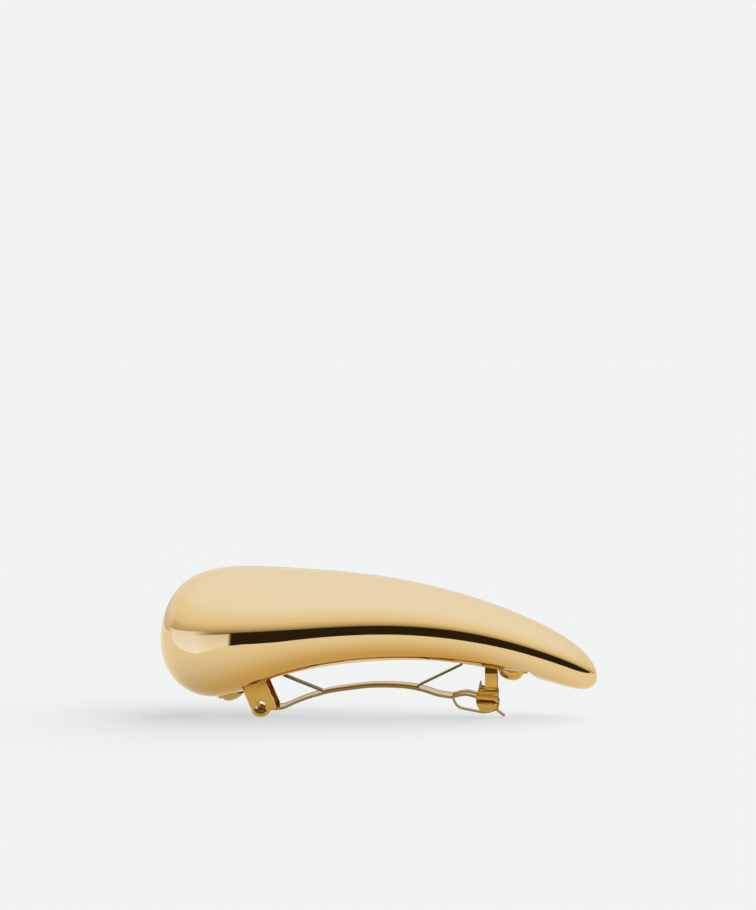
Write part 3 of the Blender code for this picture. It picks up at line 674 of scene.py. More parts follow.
def on_seat(drop, x):
    """Placement with its local Z square to the seat, and its origin on the seat."""
    normal = seat_normal(drop, x)
    tilt = math.atan2(normal.x, normal.y)
    return Matrix.Translation((x, 0, seat_height(drop, x))) @ Matrix.Rotation(tilt, 4, "Y")


def rivet_hole(drop, clasp, x):
    """Cutter for a rivet's hole, with room inside for its upset end."""
    radius = RIVET_SHANK_RADIUS + clasp.gap
    pocket = RIVET_UPSET_RADIUS + clasp.gap
    low = -drop.height * CUT_SHARE
    ledge = drop.wall + clasp.gap / 2
    high = ledge + RIVET_UPSET_HEIGHT + clasp.gap
    profile = [(0, low), (radius, low), (radius, ledge), (pocket, ledge), (pocket, high), (0, high)]
    tool = turned("hole", profile)
    tool.data.transform(on_seat(drop, x))
    return tool


def tongue_point(clasp, share, rise_share):
    """A point of the tongue from its shares, lowered so that the underside lies where the solid's does."""
    sink = (TONGUE_SOLID_THICKNESS - clasp.tongue) / 2
    return PIVOT.x + (PRONG_X - PIVOT.x) * share, clasp.tongue_rise * rise_share - sink


def plate_under(drop, clasp, x):
    """Height of the base plate's lower face."""
    return seat_height(drop, x) - (clasp.seat_gap + clasp.plate) / seat_normal(drop, x).y


def dress(piece, body, node, slot, *materials):
    """Put a finished piece in its CAD node's place, with no glow from it on the floor."""
    for material in materials:
        piece.data.materials.append(material)
    piece.data.shade_smooth()
    piece.data.set_sharp_from_angle(angle=SMOOTH_ANGLE)
    piece.visible_diffuse = False
    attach(piece, body)
    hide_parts(node)


def new_tree(name):
    """Material with nodes, and its node tree."""
    material = bpy.data.materials.new(name)
    material.use_nodes = True
    return material, material.node_tree


def add_node(tree, kind, inputs=(), **settings):
    """Add a shader node with its settings, and set each input or link it to the given socket."""
    node = tree.nodes.new("ShaderNode" + kind)
    for name, value in settings.items():
        setattr(node, name, value)
    fill(tree, node, inputs)
    return node


def fill(tree, node, inputs):
    """Set a node's inputs, or link them where a socket is given."""
    for name, value in dict(inputs).items():
        if isinstance(value, bpy.types.NodeSocket):
            tree.links.new(value, node.inputs[name])
        else:
            node.inputs[name].default_value = value


def map_range(tree, value, ends, results=(0.0, 1.0), **settings):
    """Value that runs between two results as another runs between two ends."""
    inputs = dict(zip(("From Min", "From Max", "To Min", "To Max"), (*ends, *results)))
    return add_node(tree, "MapRange", {"Value": value, **inputs}, **settings).outputs["Result"]


def mix(tree, factor, first, second, **settings):
    """Colour between two colours."""
    inputs = {"Factor": factor, "A": first, "B": second}
    return add_node(tree, "Mix", inputs, data_type="RGBA", **settings).outputs["Result"]


def gold_finish(name, colour, roughness, wave_scale, wave_height, mark_share, grazing=(1, 1, 1)):
    """Plated gold: a slow waviness, fine polishing marks and a slightly uneven tone."""
    material, tree = new_tree(name)
    place = add_node(tree, "TexCoord").outputs["Object"]
    noises = []
    for share, detail in zip(NOISE_SCALE_SHARES, NOISE_DETAILS):
        inputs = {"Vector": place, "Scale": wave_scale * share, "Detail": detail}
        noises.append(add_node(tree, "TexNoise", inputs).outputs["Fac"])
    tone, marks, wave = noises
    deeper = [channel * share for channel, share in zip(colour, DEEP_TONE_SHARES)]
    rough = (roughness * (1 - mark_share), roughness * (1 + mark_share))
    bump = add_node(tree, "Bump", {"Strength": 1.0, "Distance": wave_height, "Height": wave})
    fill(tree, tree.nodes["Principled BSDF"], {
        "Metallic": 1.0,
        "Specular Tint": (*grazing, 1.0),
        "Base Color": mix(tree, tone, (*colour, 1.0), (*deeper, 1.0)),
        "Roughness": map_range(tree, marks, (0.0, 1.0), rough),
        "Normal": bump.outputs["Normal"],
    })
    return material


def plated(name, colour, finish):
    """Plating of that name, made once."""
    return bpy.data.materials.get(name) or gold_finish(name, colour, *finish)


def painted_seat_shade(tree, drop):
    """How far the drop's gold is deepened by painted shade and reflection, from its distance to the centre
    of the seat's arch.
    """
    place = add_node(tree, "TexCoord").outputs["Object"]
    flat = add_node(tree, "VectorMath", {0: place, 1: (1.0, 0.0, 1.0)}, operation="MULTIPLY")
    centre = (SEAT_CROWN_X_SHARE * drop.length, 0.0, SEAT_CROWN_Z_SHARE * drop.height - drop.seat_radius)
    away = add_node(tree, "VectorMath", {0: flat.outputs["Vector"], 1: centre}, operation="DISTANCE")
    along = add_node(tree, "SeparateXYZ", {"Vector": place}).outputs["X"]
    far = map_range(tree, along, BULB_SHADE_X,
                    (drop.seat_radius + BULB_SHADE_END, drop.seat_radius + SEAT_SHADE_END))
    most = map_range(tree, along, TOE_SHADE_X, (1.0, TOE_SHADE_SHARE))
    return map_range(tree, away.outputs["Value"], (drop.seat_radius + SEAT_SHADE_START, far), (most, 0.0),
                     interpolation_type="SMOOTHSTEP")


def mirror_finish(drop):
    """Mirror polish whose gold is deepened towards the seat with painted shade and painted reflection."""
    material = gold_finish("mirror_plating", drop.colour, *MIRROR_FINISH)
    tree = material.node_tree
    base = tree.nodes["Principled BSDF"].inputs["Base Color"]
    # Painted shade and reflection: the gold is multiplied by the deeper tint near the seat
    seat_shaded = mix(tree, painted_seat_shade(tree, drop), base.links[0].from_socket, (*SEAT_SHADE_TINT, 1.0),
                   blend_type="MULTIPLY")
    tree.links.new(seat_shaded, base)
    return material


def polished_gold(drop):
    """Mirror-polished plating of the drop."""
    return bpy.data.materials.get("mirror_plating") or mirror_finish(drop)


def stamped_gold(clasp):
    """Bright plating over stamped strip, with its rolling waviness."""
    return plated("strip_plating", clasp.colour, STRIP_FINISH)


def painted_flange_highlight(clasp):
    """Painted highlight: brighter plating along the plate's flange, in place of the bright floor it
    reflects.
    """
    return plated("painted_flange_highlight_plating", clasp.flange_highlight_colour, FLANGE_HIGHLIGHT_FINISH)


def sheared_and_shaded_gold(clasp):
    """Duller plating over the strip's sheared edges, darkened further as a painted dark reflection."""
    return plated("edge_plating_and_shade", clasp.edge_shade_colour, EDGE_SHADE_FINISH)


def painted_spring_leg_shade(clasp):
    """Painted shade: dull dark plating on the bow spring's legs, where they run under the plate."""
    return plated("painted_spring_leg_shade_plating", clasp.spring_leg_shade_colour, SPRING_LEG_SHADE_FINISH)


def painted_fold_shade(clasp):
    """Painted shade: dark plating inside a sharp fold, where little light reaches."""
    return plated("painted_fold_shade_plating", clasp.fold_shade_colour, FOLD_SHADE_FINISH)


def rivet_gold(clasp):
    """Plating over a hammered rivet head."""
    return plated("rivet_plating", clasp.colour, RIVET_FINISH)


def seat_tools(drop, clasp):
    """Cutters for the clasp's seat: the arch between its lips, the plate's recess and the neck's channel."""
    ear_left = EAR_X - EAR_LEFT - clasp.gap
    channel_start = PLATE_LEFT_X - clasp.gap
    seat_end = PLATE_RIGHT_X + clasp.gap
    channel = list(np.linspace(channel_start, ear_left, CHANNEL_STEPS))
    seat = list(np.linspace(ear_left + SEAT_STEP, seat_end, SEAT_STEPS))
    low = -drop.height
    end_z = seat_height(drop, seat_end)
    run_out = [(seat_end + SEAT_RUN_OUT, end_z - SEAT_RUN_OUT), (seat_end + SEAT_RUN_OUT, low)]
    lip_start = ear_left + LIP_START
    lip = []
    for x, z in seat_line(drop, [lip_start] + [x for x in seat if x > lip_start], 0):
        share = min((x - lip_start) / SEAT_LIP_LEFT_FADE, (seat_end - x) / SEAT_LIP_RIGHT_FADE, 1)
        lip.append((x, z - SEAT_LIP * share**2 * (3 - 2 * share)))
    recess = EAR_OUTER_Y + clasp.gap
    neck = PLATE_NECK_HALF_WIDTH + clasp.gap
    channel_line = seat_line(drop, channel + seat[:2], 0)
    return (prism("seat_tool", lip + run_out + [(lip_start, low)], -drop.width, drop.width),
            prism("recess_tool", seat_line(drop, seat, 0) + [(seat[-1], low), (seat[0], low)],
                  -recess, recess),
            prism("channel_tool", channel_line + [(seat[1], low), (channel_start, low)], -neck, neck))


def floor_tool(drop, clasp):
    """Cutter that keeps the hollow a wall above the seat."""
    start = PLATE_LEFT_X - clasp.gap - drop.wall
    end = PLATE_RIGHT_X + clasp.gap + drop.wall
    places = list(np.linspace(start, end, SEAT_STEPS))
    return arched_strip("floor_tool", drop, places, [drop.width] * len(places),
                        drop.wall - drop.height / 2, drop.height)


class HAIRCLIP_OT_drop(bpy.types.Operator):
    """Build the hollow polished drop with the clasp's seat in its underside."""

    bl_idname = "hairclip.drop"
    bl_label = "Build Drop"

    def execute(self, context):
        drop, clasp = shapes(context)
        shell = drop_mesh("polished_drop", drop, 0, DROP_RIBS, DROP_RIB_POINTS)
        hollow = drop_mesh("hollow", drop, drop.wall, HOLLOW_RIBS, HOLLOW_RIB_POINTS)
        cut(hollow, floor_tool(drop, clasp))
        opening = back_strip("opening", drop, clasp.gap, drop.wall / 2, drop.height * CUT_SHARE)
        cut(shell, *seat_tools(drop, clasp), hollow, opening)
        cut(shell, rivet_hole(drop, clasp, HINGE_RIVET_X), rivet_hole(drop, clasp, LATCH_RIVET_X))
        dress(shell, "clip", "front_shell", "polished_gold", polished_gold(drop))
        return {"FINISHED"}


def back_strip(name, drop, extra, offset, thickness):
    """Arched strip of the back plate's outline, grown by extra on every side."""
    centre = SEAT_CROWN_X_SHARE * drop.length - BACK_HALF_WIDTH
    reach = BACK_HALF_LENGTH + extra
    places, half_widths = rounded_places(centre - reach, centre + reach, BACK_HALF_WIDTH + extra,
                                         BACK_STEPS)
    return arched_strip(name, drop, places, half_widths, offset, thickness)


class HAIRCLIP_OT_back_plate(bpy.types.Operator):
    """Build the plate that closes the underside of the drop."""

    bl_idname = "hairclip.back_plate"
    bl_label = "Build Back Plate"

    def execute(self, context):
        drop, clasp = shapes(context)
        plate = back_strip("drop_back_plate", drop, 0, BACK_THICKNESS / 2, BACK_THICKNESS)
        round_edges(plate, clasp.edge)
        dress(plate, "clip", "back_plate", "polished_gold", polished_gold(drop))
        return {"FINISHED"}


def ear_outline(length, plate, lean):
    """Outline of an ear about its pivot, its height square to the plate and up."""
    top = length + plate / 2
    side_angle = math.degrees(math.asin(EAR_LEFT / EAR_FOOT_RADIUS))
    flat_angle = math.degrees(math.asin(EAR_FOOT_FLAT / 2 / EAR_FOOT_RADIUS))
    ground = -90 + math.degrees(lean)
    shoulder = (-EAR_LEFT + EAR_SHOULDER_ROUND, length - EAR_SHOULDER_ROUND)
    outline = [(shoulder[0], top)]
    outline += arc(shoulder, EAR_SHOULDER_ROUND, 90, 180, EAR_SHOULDER_STEPS)
    outline += arc((0, 0), EAR_FOOT_RADIUS, 270 - side_angle, 360 + ground - flat_angle, EAR_FOOT_STEPS)
    outline += arc((0, 0), EAR_FOOT_RADIUS, 360 + ground + flat_angle, EAR_HEEL_ANGLE, EAR_FOOT_END_STEPS)
    heel = (EAR_RIGHT - EAR_HEEL_ROUND, -EAR_HEEL_DROP + EAR_HEEL_ROUND)
    outline += arc(heel, EAR_HEEL_ROUND, -90, 0, EAR_HEEL_STEPS)
    fillet = (EAR_RIGHT + EAR_FILLET, length - EAR_FILLET)
    outline += arc(fillet, EAR_FILLET, 180, 90, EAR_FILLET_STEPS)
    outline.append((EAR_RIGHT + EAR_FILLET, top))
    return outline


def ear(drop, clasp, side):
    """One hinge ear, folded down from the plate's edge."""
    normal = seat_normal(drop, EAR_X)
    lean = math.atan2(normal.x, normal.y)
    root = Vector((EAR_X, seat_height(drop, EAR_X))) - normal * (clasp.seat_gap + clasp.plate)
    length = (root - Vector((PIVOT.x, PIVOT.z))).length
    outline = ear_outline(length, clasp.plate, lean)
    piece = prism("ear", outline, side * (EAR_OUTER_Y - clasp.ear), side * EAR_OUTER_Y)
    piece.data.transform(Matrix.Translation(PIVOT) @ Matrix.Rotation(lean, 4, "Y"))
    return piece


def base_plate_finish(face):
    """Place of a face's finish: flat strip, darkened sheared edge, painted shade under the ear's hole or
    painted highlight.
    """
    out = abs(face.center.y)
    from_pivot = math.hypot(face.center.x - PIVOT.x, face.center.z - PIVOT.z)
    in_dish = out > PLATE_HALF_WIDTH and EAR_HOLE_RADIUS < from_pivot < EAR_DISH_RADIUS
    # Painted shade on the dish's lower part, under the ear's hole
    if in_dish and face.center.z < PIVOT.z - DISH_SHADE_SHARE * from_pivot:
        return SHADE_PLACE
    if face.center.x > EAR_X + EAR_RIGHT + EAR_FILLET:
        if out < PLATE_HALF_WIDTH - 2 * FLANGE_ROUND:
            return FLAT_PLACE
        # Painted highlight on the flange faces up to its end; darkened sheared edges beyond
        return HIGHLIGHT_PLACE if face.center.x < HIGHLIGHT_END_X else EDGE_SHADE_PLACE
    on_ear = out > EAR_OUTER_Y - 2 * FLANGE_ROUND and abs(face.normal.y) < FACE_SHARE
    return EDGE_SHADE_PLACE if on_ear else FLAT_PLACE


def flanged_strip(drop, clasp):
    """The base plate's strip: round ends, a narrow neck, and flanges folded down along its sides."""
    places, rounds = rounded_places(PLATE_LEFT_X, PLATE_RIGHT_X, PLATE_HALF_WIDTH, PLATE_STEPS)
    neck_end = EAR_X - EAR_LEFT + EAR_SHOULDER_ROUND
    widths = []
    for x, half_width in zip(places, rounds):
        grown = min(max((x - neck_end) / EAR_SHOULDER_ROUND, 0), 1)
        most = PLATE_NECK_HALF_WIDTH + (PLATE_HALF_WIDTH - PLATE_NECK_HALF_WIDTH) * grown
        half_width = min(half_width, most)
        fold = half_width - min(FLANGE_RUN, half_width / 2)
        widths.append((-half_width, -fold, 0, fold, half_width))
    rows = strip_rows(seat_line(drop, places, -clasp.seat_gap - clasp.plate / 2), widths)
    for x, row in zip(places, rows):
        depth = FLANGE_DEPTH * hump(x, FLANGE_CENTRE_X, FLANGE_REACH)
        for end, side in ((0, -1), (-1, 1)):
            point, up = row[end]
            row[end] = (point - up * depth, up + Vector((0, side * FLANGE_TILT_SHARE, 0)))
    plate = sheet("clasp_base_plate", rows, clasp.plate)
    round_edges(plate, FLANGE_ROUND, FLANGE_ROUND_STEPS)
    return plate


def ear_hole_tools():
    """Cutters for the hole through both ears and the shallow dish round it on either outside."""
    reach = 2 * EAR_OUTER_Y
    floor = EAR_OUTER_Y - EAR_DISH_RADIUS * EAR_DISH_SLOPE
    tools = [turned("hole", [(0, -reach), (EAR_HOLE_RADIUS, -reach), (EAR_HOLE_RADIUS, reach), (0, reach)])]
    for side in (-1, 1):
        tools.append(turned("dish", [(0, side * floor), (EAR_DISH_RADIUS, side * EAR_OUTER_Y),
                                     (EAR_DISH_RADIUS, side * reach), (0, side * reach)]))
    for tool in tools:
        tool.data.transform(Matrix.Translation(PIVOT) @ Matrix.Rotation(math.pi / 2, 4, "X"))
    return tools


def spring_slot(drop, clasp, x):
    """Cutter for the slot that a leg of the bow spring sits in."""
    ends = [x - SLOT_HALF_LENGTH, x + SLOT_HALF_LENGTH]
    below = seat_line(drop, ends, -clasp.seat_gap - 2 * clasp.plate)
    above = seat_line(drop, reversed(ends), clasp.gap)
    side = SPRING_HALF_WIDTH + clasp.gap
    return prism("slot", below + above, -side, side)


class HAIRCLIP_OT_base_plate(bpy.types.Operator):
    """Build the arched base plate with its hinge ears, rivet holes and spring slots."""

    bl_idname = "hairclip.base_plate"
    bl_label = "Build Base Plate"

    def execute(self, context):
        drop, clasp = shapes(context)
        plate = flanged_strip(drop, clasp)
        for side in (-1, 1):
            use_tool(plate, ear(drop, clasp, side), "UNION")
        cut(plate, *ear_hole_tools())
        cut(plate, rivet_hole(drop, clasp, HINGE_RIVET_X), rivet_hole(drop, clasp, LATCH_RIVET_X))
        cut(plate, *[spring_slot(drop, clasp, x) for x in SLOT_PLACES])
        for face in plate.data.polygons:
            face.material_index = base_plate_finish(face)
        round_edges(plate, clasp.edge)
        dress(plate, "clip", "base_plate", "stamped_gold", stamped_gold(clasp), sheared_and_shaded_gold(clasp),
              painted_fold_shade(clasp), painted_flange_highlight(clasp))
        return {"FINISHED"}


def rivet(name, drop, clasp, x, head):
    """Domed head with a thin lip under the plate, shank, and upset end inside the drop."""
    seat = -clasp.seat_gap - clasp.plate - clasp.contact
    inside = drop.wall + clasp.contact
    top = inside + RIVET_UPSET_HEIGHT
    profile = [(0, top)]
    profile += [(radius, top - RIVET_UPSET_HEIGHT + height) for radius, height in
                arc((RIVET_UPSET_RADIUS - RIVET_UPSET_HEIGHT, 0), RIVET_UPSET_HEIGHT, 90, 0, BEND_STEPS)]
    profile += [(RIVET_SHANK_RADIUS, inside), (RIVET_SHANK_RADIUS, seat), (RIVET_HEAD_RADIUS, seat)]
    for k in range(DOME_STEPS + 1):
        angle = math.pi / 2 * k / DOME_STEPS
        profile.append((RIVET_HEAD_RADIUS * math.cos(angle),
                        seat - RIVET_LIP - (head - RIVET_LIP) * math.sin(angle)))
    piece = turned(name, profile)
    piece.data.transform(on_seat(drop, x))
    return piece


class HAIRCLIP_OT_rivets(bpy.types.Operator):
    """Build both rivets."""

    bl_idname = "hairclip.rivets"
    bl_label = "Build Rivets"

    def execute(self, context):
        drop, clasp = shapes(context)
        for name, x, head in (("hinge_end", HINGE_RIVET_X, clasp.hinge_head),
                              ("latch_end", LATCH_RIVET_X, clasp.latch_head)):
            piece = rivet("domed_rivet_" + name, drop, clasp, x, head)
            dress(piece, "clip", "rivet_" + name, "rivet_gold", rivet_gold(clasp))
        return {"FINISHED"}


def bar_line(clasp):
    """Centre line of the tongue's arched bar."""
    return [tongue_point(clasp, *pair) for pair in TONGUE_LINE_SHARES]


def tongue_half_width(k, trough_end, rails_end, last):
    """Half width of the tongue at a row: trunnion, bar, and the tail drawn to a blunt tip."""
    if k < trough_end - TROUGH_NARROW_ROWS:
        return EAR_OUTER_Y
    if k <= rails_end - LINE_STEPS:
        return TONGUE_HALF_WIDTH
    if k <= rails_end:
        t = (k - rails_end + LINE_STEPS) / LINE_STEPS
        return TONGUE_HALF_WIDTH + (TAIL_HALF_WIDTH - TONGUE_HALF_WIDTH) * t**2
    t = (k - rails_end) / (last - rails_end)
    return TAIL_HALF_WIDTH + (TAIL_TIP_HALF_WIDTH - TAIL_HALF_WIDTH) * t


def tongue_rows(clasp):
    """Rows of the tongue's sheet, with the row where its slits start and the one where they end."""
    trough = arc((PIVOT.x, PIVOT.z), TRUNNION_RADIUS - clasp.tongue * TROUGH_THICKNESS_SHARE / 2,
                 TROUGH_START_ANGLE, TROUGH_END_ANGLE, TROUGH_STEPS)
    bar = bar_line(clasp)
    ends = [[tongue_point(clasp, *pair) for pair in shares + TAIL_LINE_SHARES]
            for shares in (RAIL_LINE_SHARES, STRIP_LINE_SHARES)]
    rail_line, strip_line = [trough + smooth_line([trough[-1]] + bar + end)[1:] for end in ends]
    rail_normals = line_normals(rail_line)
    strip_normals = line_normals(strip_line)
    rails_start = len(trough) + len(bar) * LINE_STEPS - 1
    rails_end = rails_start + len(RAIL_LINE_SHARES) * LINE_STEPS
    rows = []
    for k in range(len(rail_line)):
        outer = tongue_half_width(k, len(trough), rails_end, len(rail_line) - 1)
        inner = min(RAIL_INNER_Y, (outer + STRIP_HALF_WIDTH) / 2)
        centre = min(STRIP_HALF_WIDTH, outer * STRIP_MOST_SHARE)
        inner = max(inner, centre * RAIL_LEAST_SHARE)
        rim = outer - min(TONGUE_RIM_WIDTH, (outer - inner) / 2)
        row = []
        for y in (-outer, -rim, -inner, -centre, 0, centre, inner, rim, outer):
            on_rail = abs(y) > centre
            x, z = rail_line[k] if on_rail else strip_line[k]
            normal = rail_normals[k] if on_rail else strip_normals[k]
            up = Vector((normal.x, 0, normal.y)) * (TROUGH_THICKNESS_SHARE if k < len(trough) else 1)
            row.append((Vector((x, y, z)), up))
        if len(trough) <= k < rails_end - LINE_STEPS:
            raise_rims(row, TONGUE_RIM, clasp.tongue)
        rows.append(row)
    return rows, rails_start, rails_end


class HAIRCLIP_OT_tongue(bpy.types.Operator):
    """Build the tongue: rolled trunnion, arched bar, slit latch end and thumb tail."""

    bl_idname = "hairclip.tongue"
    bl_label = "Build Tongue"

    def execute(self, context):
        clasp = context.scene.hair_clip_clasp
        rows, rails_start, rails_end = tongue_rows(clasp)
        slits = [(i, j) for i in range(rails_start, rails_end) for j in TONGUE_SLIT_COLUMNS]
        piece = sheet("clasp_tongue", rows, clasp.tongue, slits, TONGUE_RIM_COLUMNS)
        # Painted shade inside the rolled trunnion; past the crossing the edges keep the strip's colour
        for face in piece.data.polygons:
            if math.hypot(face.center.x - PIVOT.x, face.center.z - PIVOT.z) < TRUNNION_RADIUS:
                face.material_index = SHADE_PLACE
            elif face.center.x > CROSSING_X and face.center.z > CROSSING_Z:
                face.material_index = FLAT_PLACE
        round_edges(piece, clasp.tongue * EDGE_SHARE)
        dress(piece, "tongue", "tongue", "stamped_gold", stamped_gold(clasp), sheared_and_shaded_gold(clasp),
              painted_fold_shade(clasp))
        return {"FINISHED"}


class HAIRCLIP_OT_spring(bpy.types.Operator):
    """Build the bow spring between the tongue and the base plate."""

    bl_idname = "hairclip.spring"
    bl_label = "Build Bow Spring"

    def execute(self, context):
        drop, clasp = shapes(context)
        lift = clasp.tongue / 2 + clasp.contact + clasp.spring / 2
        bar = smooth_line(bar_line(clasp))
        reach = PRONG_X - PIVOT.x
        low, high = SPRING_BEND_SHARES
        middle = [(x + normal.x * lift, z + normal.y * lift)
                  for (x, z), normal in zip(bar, line_normals(bar)) if low < (x - PIVOT.x) / reach < high]
        ends = [seat_line(drop, [x], -clasp.seat_gap - clasp.plate / 2)[0] for x in SLOT_PLACES]
        legs = []
        for end, knee, bend in zip(ends, SPRING_KNEES, (middle[0], middle[-1])):
            run = [tuple(Vector(knee).lerp(Vector(bend), k / LEG_STEPS)) for k in range(LEG_STEPS + 1)]
            legs.append([end] + run)
        line = legs[0] + middle[1:-1] + legs[1][::-1]
        rows = strip_rows(line, [(-SPRING_HALF_WIDTH, 0, SPRING_HALF_WIDTH)] * len(line))
        for k in range(-LEG_STEPS - 1, LEG_STEPS + 1):
            rows[k] = [(point, up * SPRING_LEG_SHARE) for point, up in rows[k]]
        piece = sheet("clasp_bow_spring", rows, clasp.spring)
        # The legs get the painted shade
        for face in piece.data.polygons:
            if not middle[0][0] < face.center.x < middle[-1][0]:
                face.material_index = SPRING_LEG_SHADE_PLACE
        round_edges(piece, clasp.spring * EDGE_SHARE)
        dress(piece, "clip", "bow_spring", "stamped_gold", stamped_gold(clasp), painted_spring_leg_shade(clasp))
        return {"FINISHED"}


def prong_shape(clasp, side):
    """One prong: a flat arm that swells into a round finger pad."""
    root = (PRONG_Y, PRONG_ROOT.z - clasp.contact, PRONG_HALF_WIDTH, 0.0, 0.0)
    grid = []
    for y, z, half_width, crown, shift in smooth_line([root, *PRONG_LINE]):
        middle = PRONG_X + LATCH_SHIFT + shift
        row = []
        for step in range(PRONG_COLUMNS + 1):
            across = 2 * step / PRONG_COLUMNS - 1
            row.append(Vector((middle + half_width * across, side * (y - crown * across**2), z)))
        grid.append(row)
    return patch("clasp_prong", grid, clasp.latch)


def bridge_shape(drop, clasp):
    """The latch spring's bridge: flat under the plate, bent down to both prongs' roots."""
    middle = PRONG_X + LATCH_SHIFT
    bend = clasp.latch
    path = arc((-PRONG_Y + bend, -bend), bend, 180, 90, BEND_STEPS)
    path += arc((PRONG_Y - bend, -bend), bend, 90, 0, BEND_STEPS)
    grid = []
    for y, drop_z in [(-PRONG_Y, None)] + path + [(PRONG_Y, None)]:
        row = []
        for x in np.linspace(middle - PRONG_HALF_WIDTH, middle + PRONG_HALF_WIDTH, PRONG_COLUMNS + 1):
            web = plate_under(drop, clasp, x) - clasp.contact - clasp.latch / 2
            z = PRONG_ROOT.z if drop_z is None else web + drop_z
            row.append(Vector((x, y, z)))
        grid.append(row)
    return patch("latch_web", grid, clasp.latch)


class HAIRCLIP_OT_latch(bpy.types.Operator):
    """Build the latch spring: its bridge under the plate and its two prongs."""

    bl_idname = "hairclip.latch"
    bl_label = "Build Latch Spring"

    def execute(self, context):
        drop, clasp = shapes(context)
        bridge = bridge_shape(drop, clasp)
        round_edges(bridge, clasp.edge)
        # The whole bridge takes the painted fold shade, in place of the shade under the plate
        dress(bridge, "clip", "latch_bridge", "stamped_gold", painted_fold_shade(clasp))
        for name, side in (("near", -1), ("far", 1)):
            prong = prong_shape(clasp, side)
            prong.name = "latch_arm_" + name
            tab = prism("guard", GUARD, side * GUARD_Y, side * (GUARD_Y + clasp.latch))
            use_tool(prong, tab, "UNION")
            # Painted shade on the prong's folds
            for face in prong.data.polygons:
                if any(low < face.center.z < high for high, low in PRONG_SHADED_FOLDS):
                    face.material_index = PRONG_SHADE_PLACE
            round_edges(prong, clasp.edge)
            dress(prong, "prong_" + name, "latch_prong_" + name, "stamped_gold",
                  stamped_gold(clasp), painted_fold_shade(clasp))
        return {"FINISHED"}


class HAIRCLIP_OT_stage(bpy.types.Operator):
    """Set the pale floor, the soft studio light and the camera."""

    bl_idname = "hairclip.stage"
    bl_label = "Build Stage"

    def execute(self, context):
        look = context.scene.hair_clip_look
        pale_world(context.scene, look)
        overhead_light(context.scene, look)
        floor_planes(look)
        surround()
        studio_camera(context.scene, look)
        context.scene.view_settings.view_transform = "Standard"
        return {"FINISHED"}


def pale_world(scene, look):
    """Even white sky that lights the floor from all sides."""
    world = bpy.data.worlds.new("pale_sky")
    world.use_nodes = True
    tree = world.node_tree
    fill(tree, tree.nodes["Background"], {"Color": (*look.floor, 1.0), "Strength": 1.0})
    scene.world = world


def overhead_light(scene, look):
    """Wide light from above that gives the clip its soft shadow."""
    data = bpy.data.lights.new("overhead", "SUN")
    data.color = look.floor
    data.angle = look.softness
    upright = math.cos(look.light_lean) * math.cos(look.light_back)
    data.energy = math.pi * look.shadow_share / (1 - look.shadow_share) / upright
    lamp = bpy.data.objects.new("overhead", data)
    lamp.rotation_euler = (-look.light_back, look.light_lean, 0)
    lamp.visible_glossy = False
    scene.collection.objects.link(lamp)


def floor_planes(look):
    """Pale floor in two planes: only the far one shows in the metal, as a table top would."""
    material, tree = new_tree("pale_floor")
    shade = (*[1 - look.shadow_share] * 3, 1.0)
    fill(tree, tree.nodes["Principled BSDF"],
         {"Base Color": shade, "Roughness": FLOOR_ROUGHNESS, "Specular IOR Level": 0.0})
    for name, far, shows in (("table", FLOOR_HALF, True), ("apron", -FLOOR_HALF, False)):
        shape = bmesh.new()
        edge = [shape.verts.new((x, y, 0)) for x, y in TABLE_EDGE]
        end = [shape.verts.new((x, far, 0)) for x, y in TABLE_EDGE]
        for k in range(len(edge) - 1):
            shape.faces.new((edge[k], edge[k + 1], end[k + 1], end[k]))
        plane = finish_mesh(name, shape)
        if plane.data.polygons[0].normal.z < 0:
            plane.data.flip_normals()
        plane.data.materials.append(material)
        plane.visible_glossy = shows


def light_ramp(tree, height, stops):
    """Colour of the surround by the sine of its elevation."""
    ramp = add_node(tree, "ValToRGB", {"Fac": height})
    elements = ramp.color_ramp.elements
    while len(elements) > 1:
        elements.remove(elements[-1])
    for k, (elevation, colour) in enumerate(stops):
        position = (math.sin(math.radians(elevation)) + 1) / 2
        element = elements[0] if k == 0 else elements.new(position)
        element.position = position
        element.color = (*[channel / SURROUND_STRENGTH for channel in colour], 1.0)
    return ramp.outputs["Color"]


def surround():
    """Studio seen only in the metal: soft overhead light, dark room in front, white card at the bulb."""
    shape = bmesh.new()
    bmesh.ops.create_uvsphere(shape, u_segments=SURROUND_SEGMENTS, v_segments=SURROUND_RINGS,
                              radius=SURROUND_RADIUS)
    dome = finish_mesh("surround", shape)
    material, tree = new_tree("surround_light")
    tree.nodes.clear()
    place = add_node(tree, "TexCoord").outputs["Object"]
    split = add_node(tree, "SeparateXYZ", {"Vector": place})
    height = map_range(tree, split.outputs["Z"], (-SURROUND_RADIUS, SURROUND_RADIUS))
    front = add_node(tree, "Math", {0: split.outputs["Y"], 1: -1.0}, operation="MULTIPLY")
    turn = add_node(tree, "Math", {0: split.outputs["X"], 1: front.outputs[0]}, operation="ARCTAN2")
    light = light_ramp(tree, height, BACK_LIGHT)
    for start, half, stops in SURROUND_SIDES:
        ends = (math.radians(start - half), math.radians(start + half))
        share = map_range(tree, turn.outputs[0], ends, interpolation_type="SMOOTHSTEP")
        light = mix(tree, share, light, light_ramp(tree, height, stops))
    glow = add_node(tree, "Emission", {"Color": light, "Strength": SURROUND_STRENGTH})
    add_node(tree, "OutputMaterial", {"Surface": glow.outputs["Emission"]})
    dome.data.materials.append(material)
    dome.visible_camera = False
    dome.visible_diffuse = False
    dome.visible_shadow = False


def towards_camera(look, pitch):
    """Unit vector from the clip towards the camera's side, at a pitch above the ground."""
    return Vector((math.sin(look.azimuth) * math.cos(pitch),
                   -math.cos(look.azimuth) * math.cos(pitch), math.sin(pitch)))


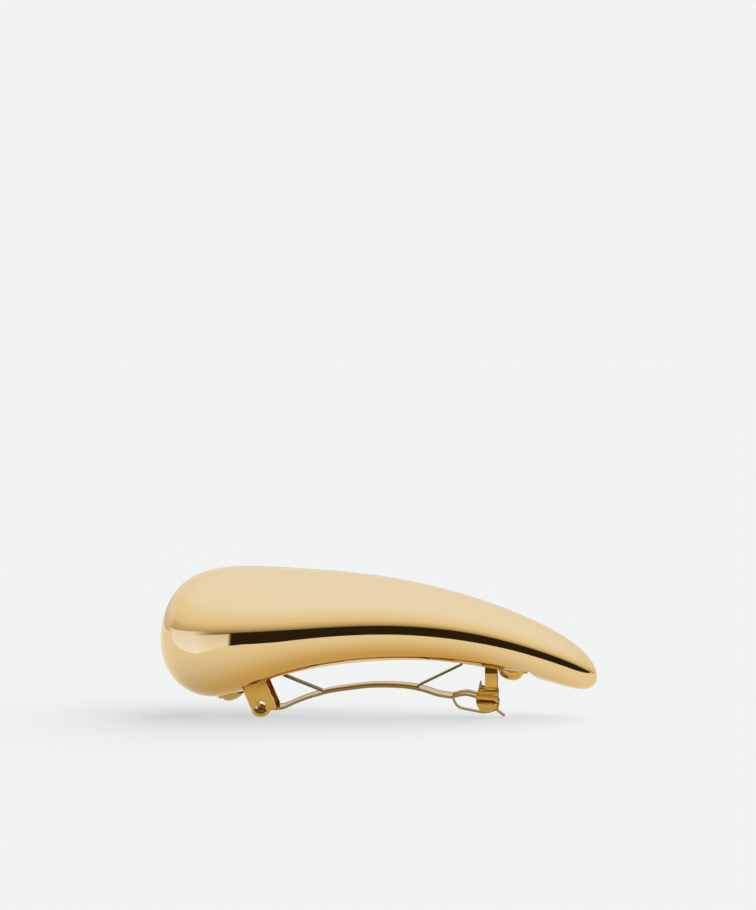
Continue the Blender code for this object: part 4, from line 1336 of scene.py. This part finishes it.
def studio_camera(scene, look):
    """Camera at the photograph's angle, aimed above the clip so that it sits low in the frame."""
    data = bpy.data.cameras.new("camera")
    data.lens = look.lens
    data.sensor_width = SENSOR
    data.clip_start = NEAREST
    data.clip_end = FARTHEST
    camera = bpy.data.objects.new("camera", data)
    scene.collection.objects.link(camera)
    frame_height = PHOTO_HEIGHT * look.pixel
    distance = look.lens / SENSOR * frame_height
    below = (PHOTO_GROUND_ROW - PHOTO_HEIGHT / 2) * look.pixel
    lift = math.atan(below / distance)
    camera.location = towards_camera(look, look.elevation) * math.hypot(distance, below)
    aim = -towards_camera(look, look.elevation - lift)
    camera.rotation_euler = aim.to_track_quat("-Z", "Y").to_euler()
    scene.camera = camera


class HAIRCLIP_PT_panel(bpy.types.Panel):
    """Sidebar panel with the clip's sizes and builders."""

    bl_label = "Hair Clip"
    bl_idname = "HAIRCLIP_PT_panel"
    bl_space_type = "VIEW_3D"
    bl_region_type = "UI"
    bl_category = "Hair Clip"

    def draw(self, context):
        layout = self.layout
        for group in (context.scene.hair_clip_drop, context.scene.hair_clip_clasp,
                      context.scene.hair_clip_look):
            box = layout.box()
            for name in group.__annotations__:
                box.prop(group, name)
        for operator in OPERATORS:
            layout.operator(operator.bl_idname)


GROUPS = (("hair_clip_drop", DropShape), ("hair_clip_clasp", ClaspShape), ("hair_clip_look", StudioLook))
OPERATORS = (HAIRCLIP_OT_stage, HAIRCLIP_OT_drop, HAIRCLIP_OT_back_plate, HAIRCLIP_OT_base_plate,
             HAIRCLIP_OT_rivets, HAIRCLIP_OT_tongue, HAIRCLIP_OT_spring, HAIRCLIP_OT_latch)


def register():
    """Register the settings, builders and panel."""
    for name, group in GROUPS:
        bpy.utils.register_class(group)
        setattr(bpy.types.Scene, name, PointerProperty(type=group))
    for cls in (*OPERATORS, HAIRCLIP_PT_panel):
        bpy.utils.register_class(cls)


def unregister():
    """Remove what register added."""
    for cls in (HAIRCLIP_PT_panel, *reversed(OPERATORS)):
        bpy.utils.unregister_class(cls)
    for name, group in reversed(GROUPS):
        delattr(bpy.types.Scene, name)
        bpy.utils.unregister_class(group)


def main():
    """Build the whole clip."""
    register()
    for operator in OPERATORS:
        category, name = operator.bl_idname.split(".")
        getattr(getattr(bpy.ops, category), name)()


if __name__ == "__main__":
    main()
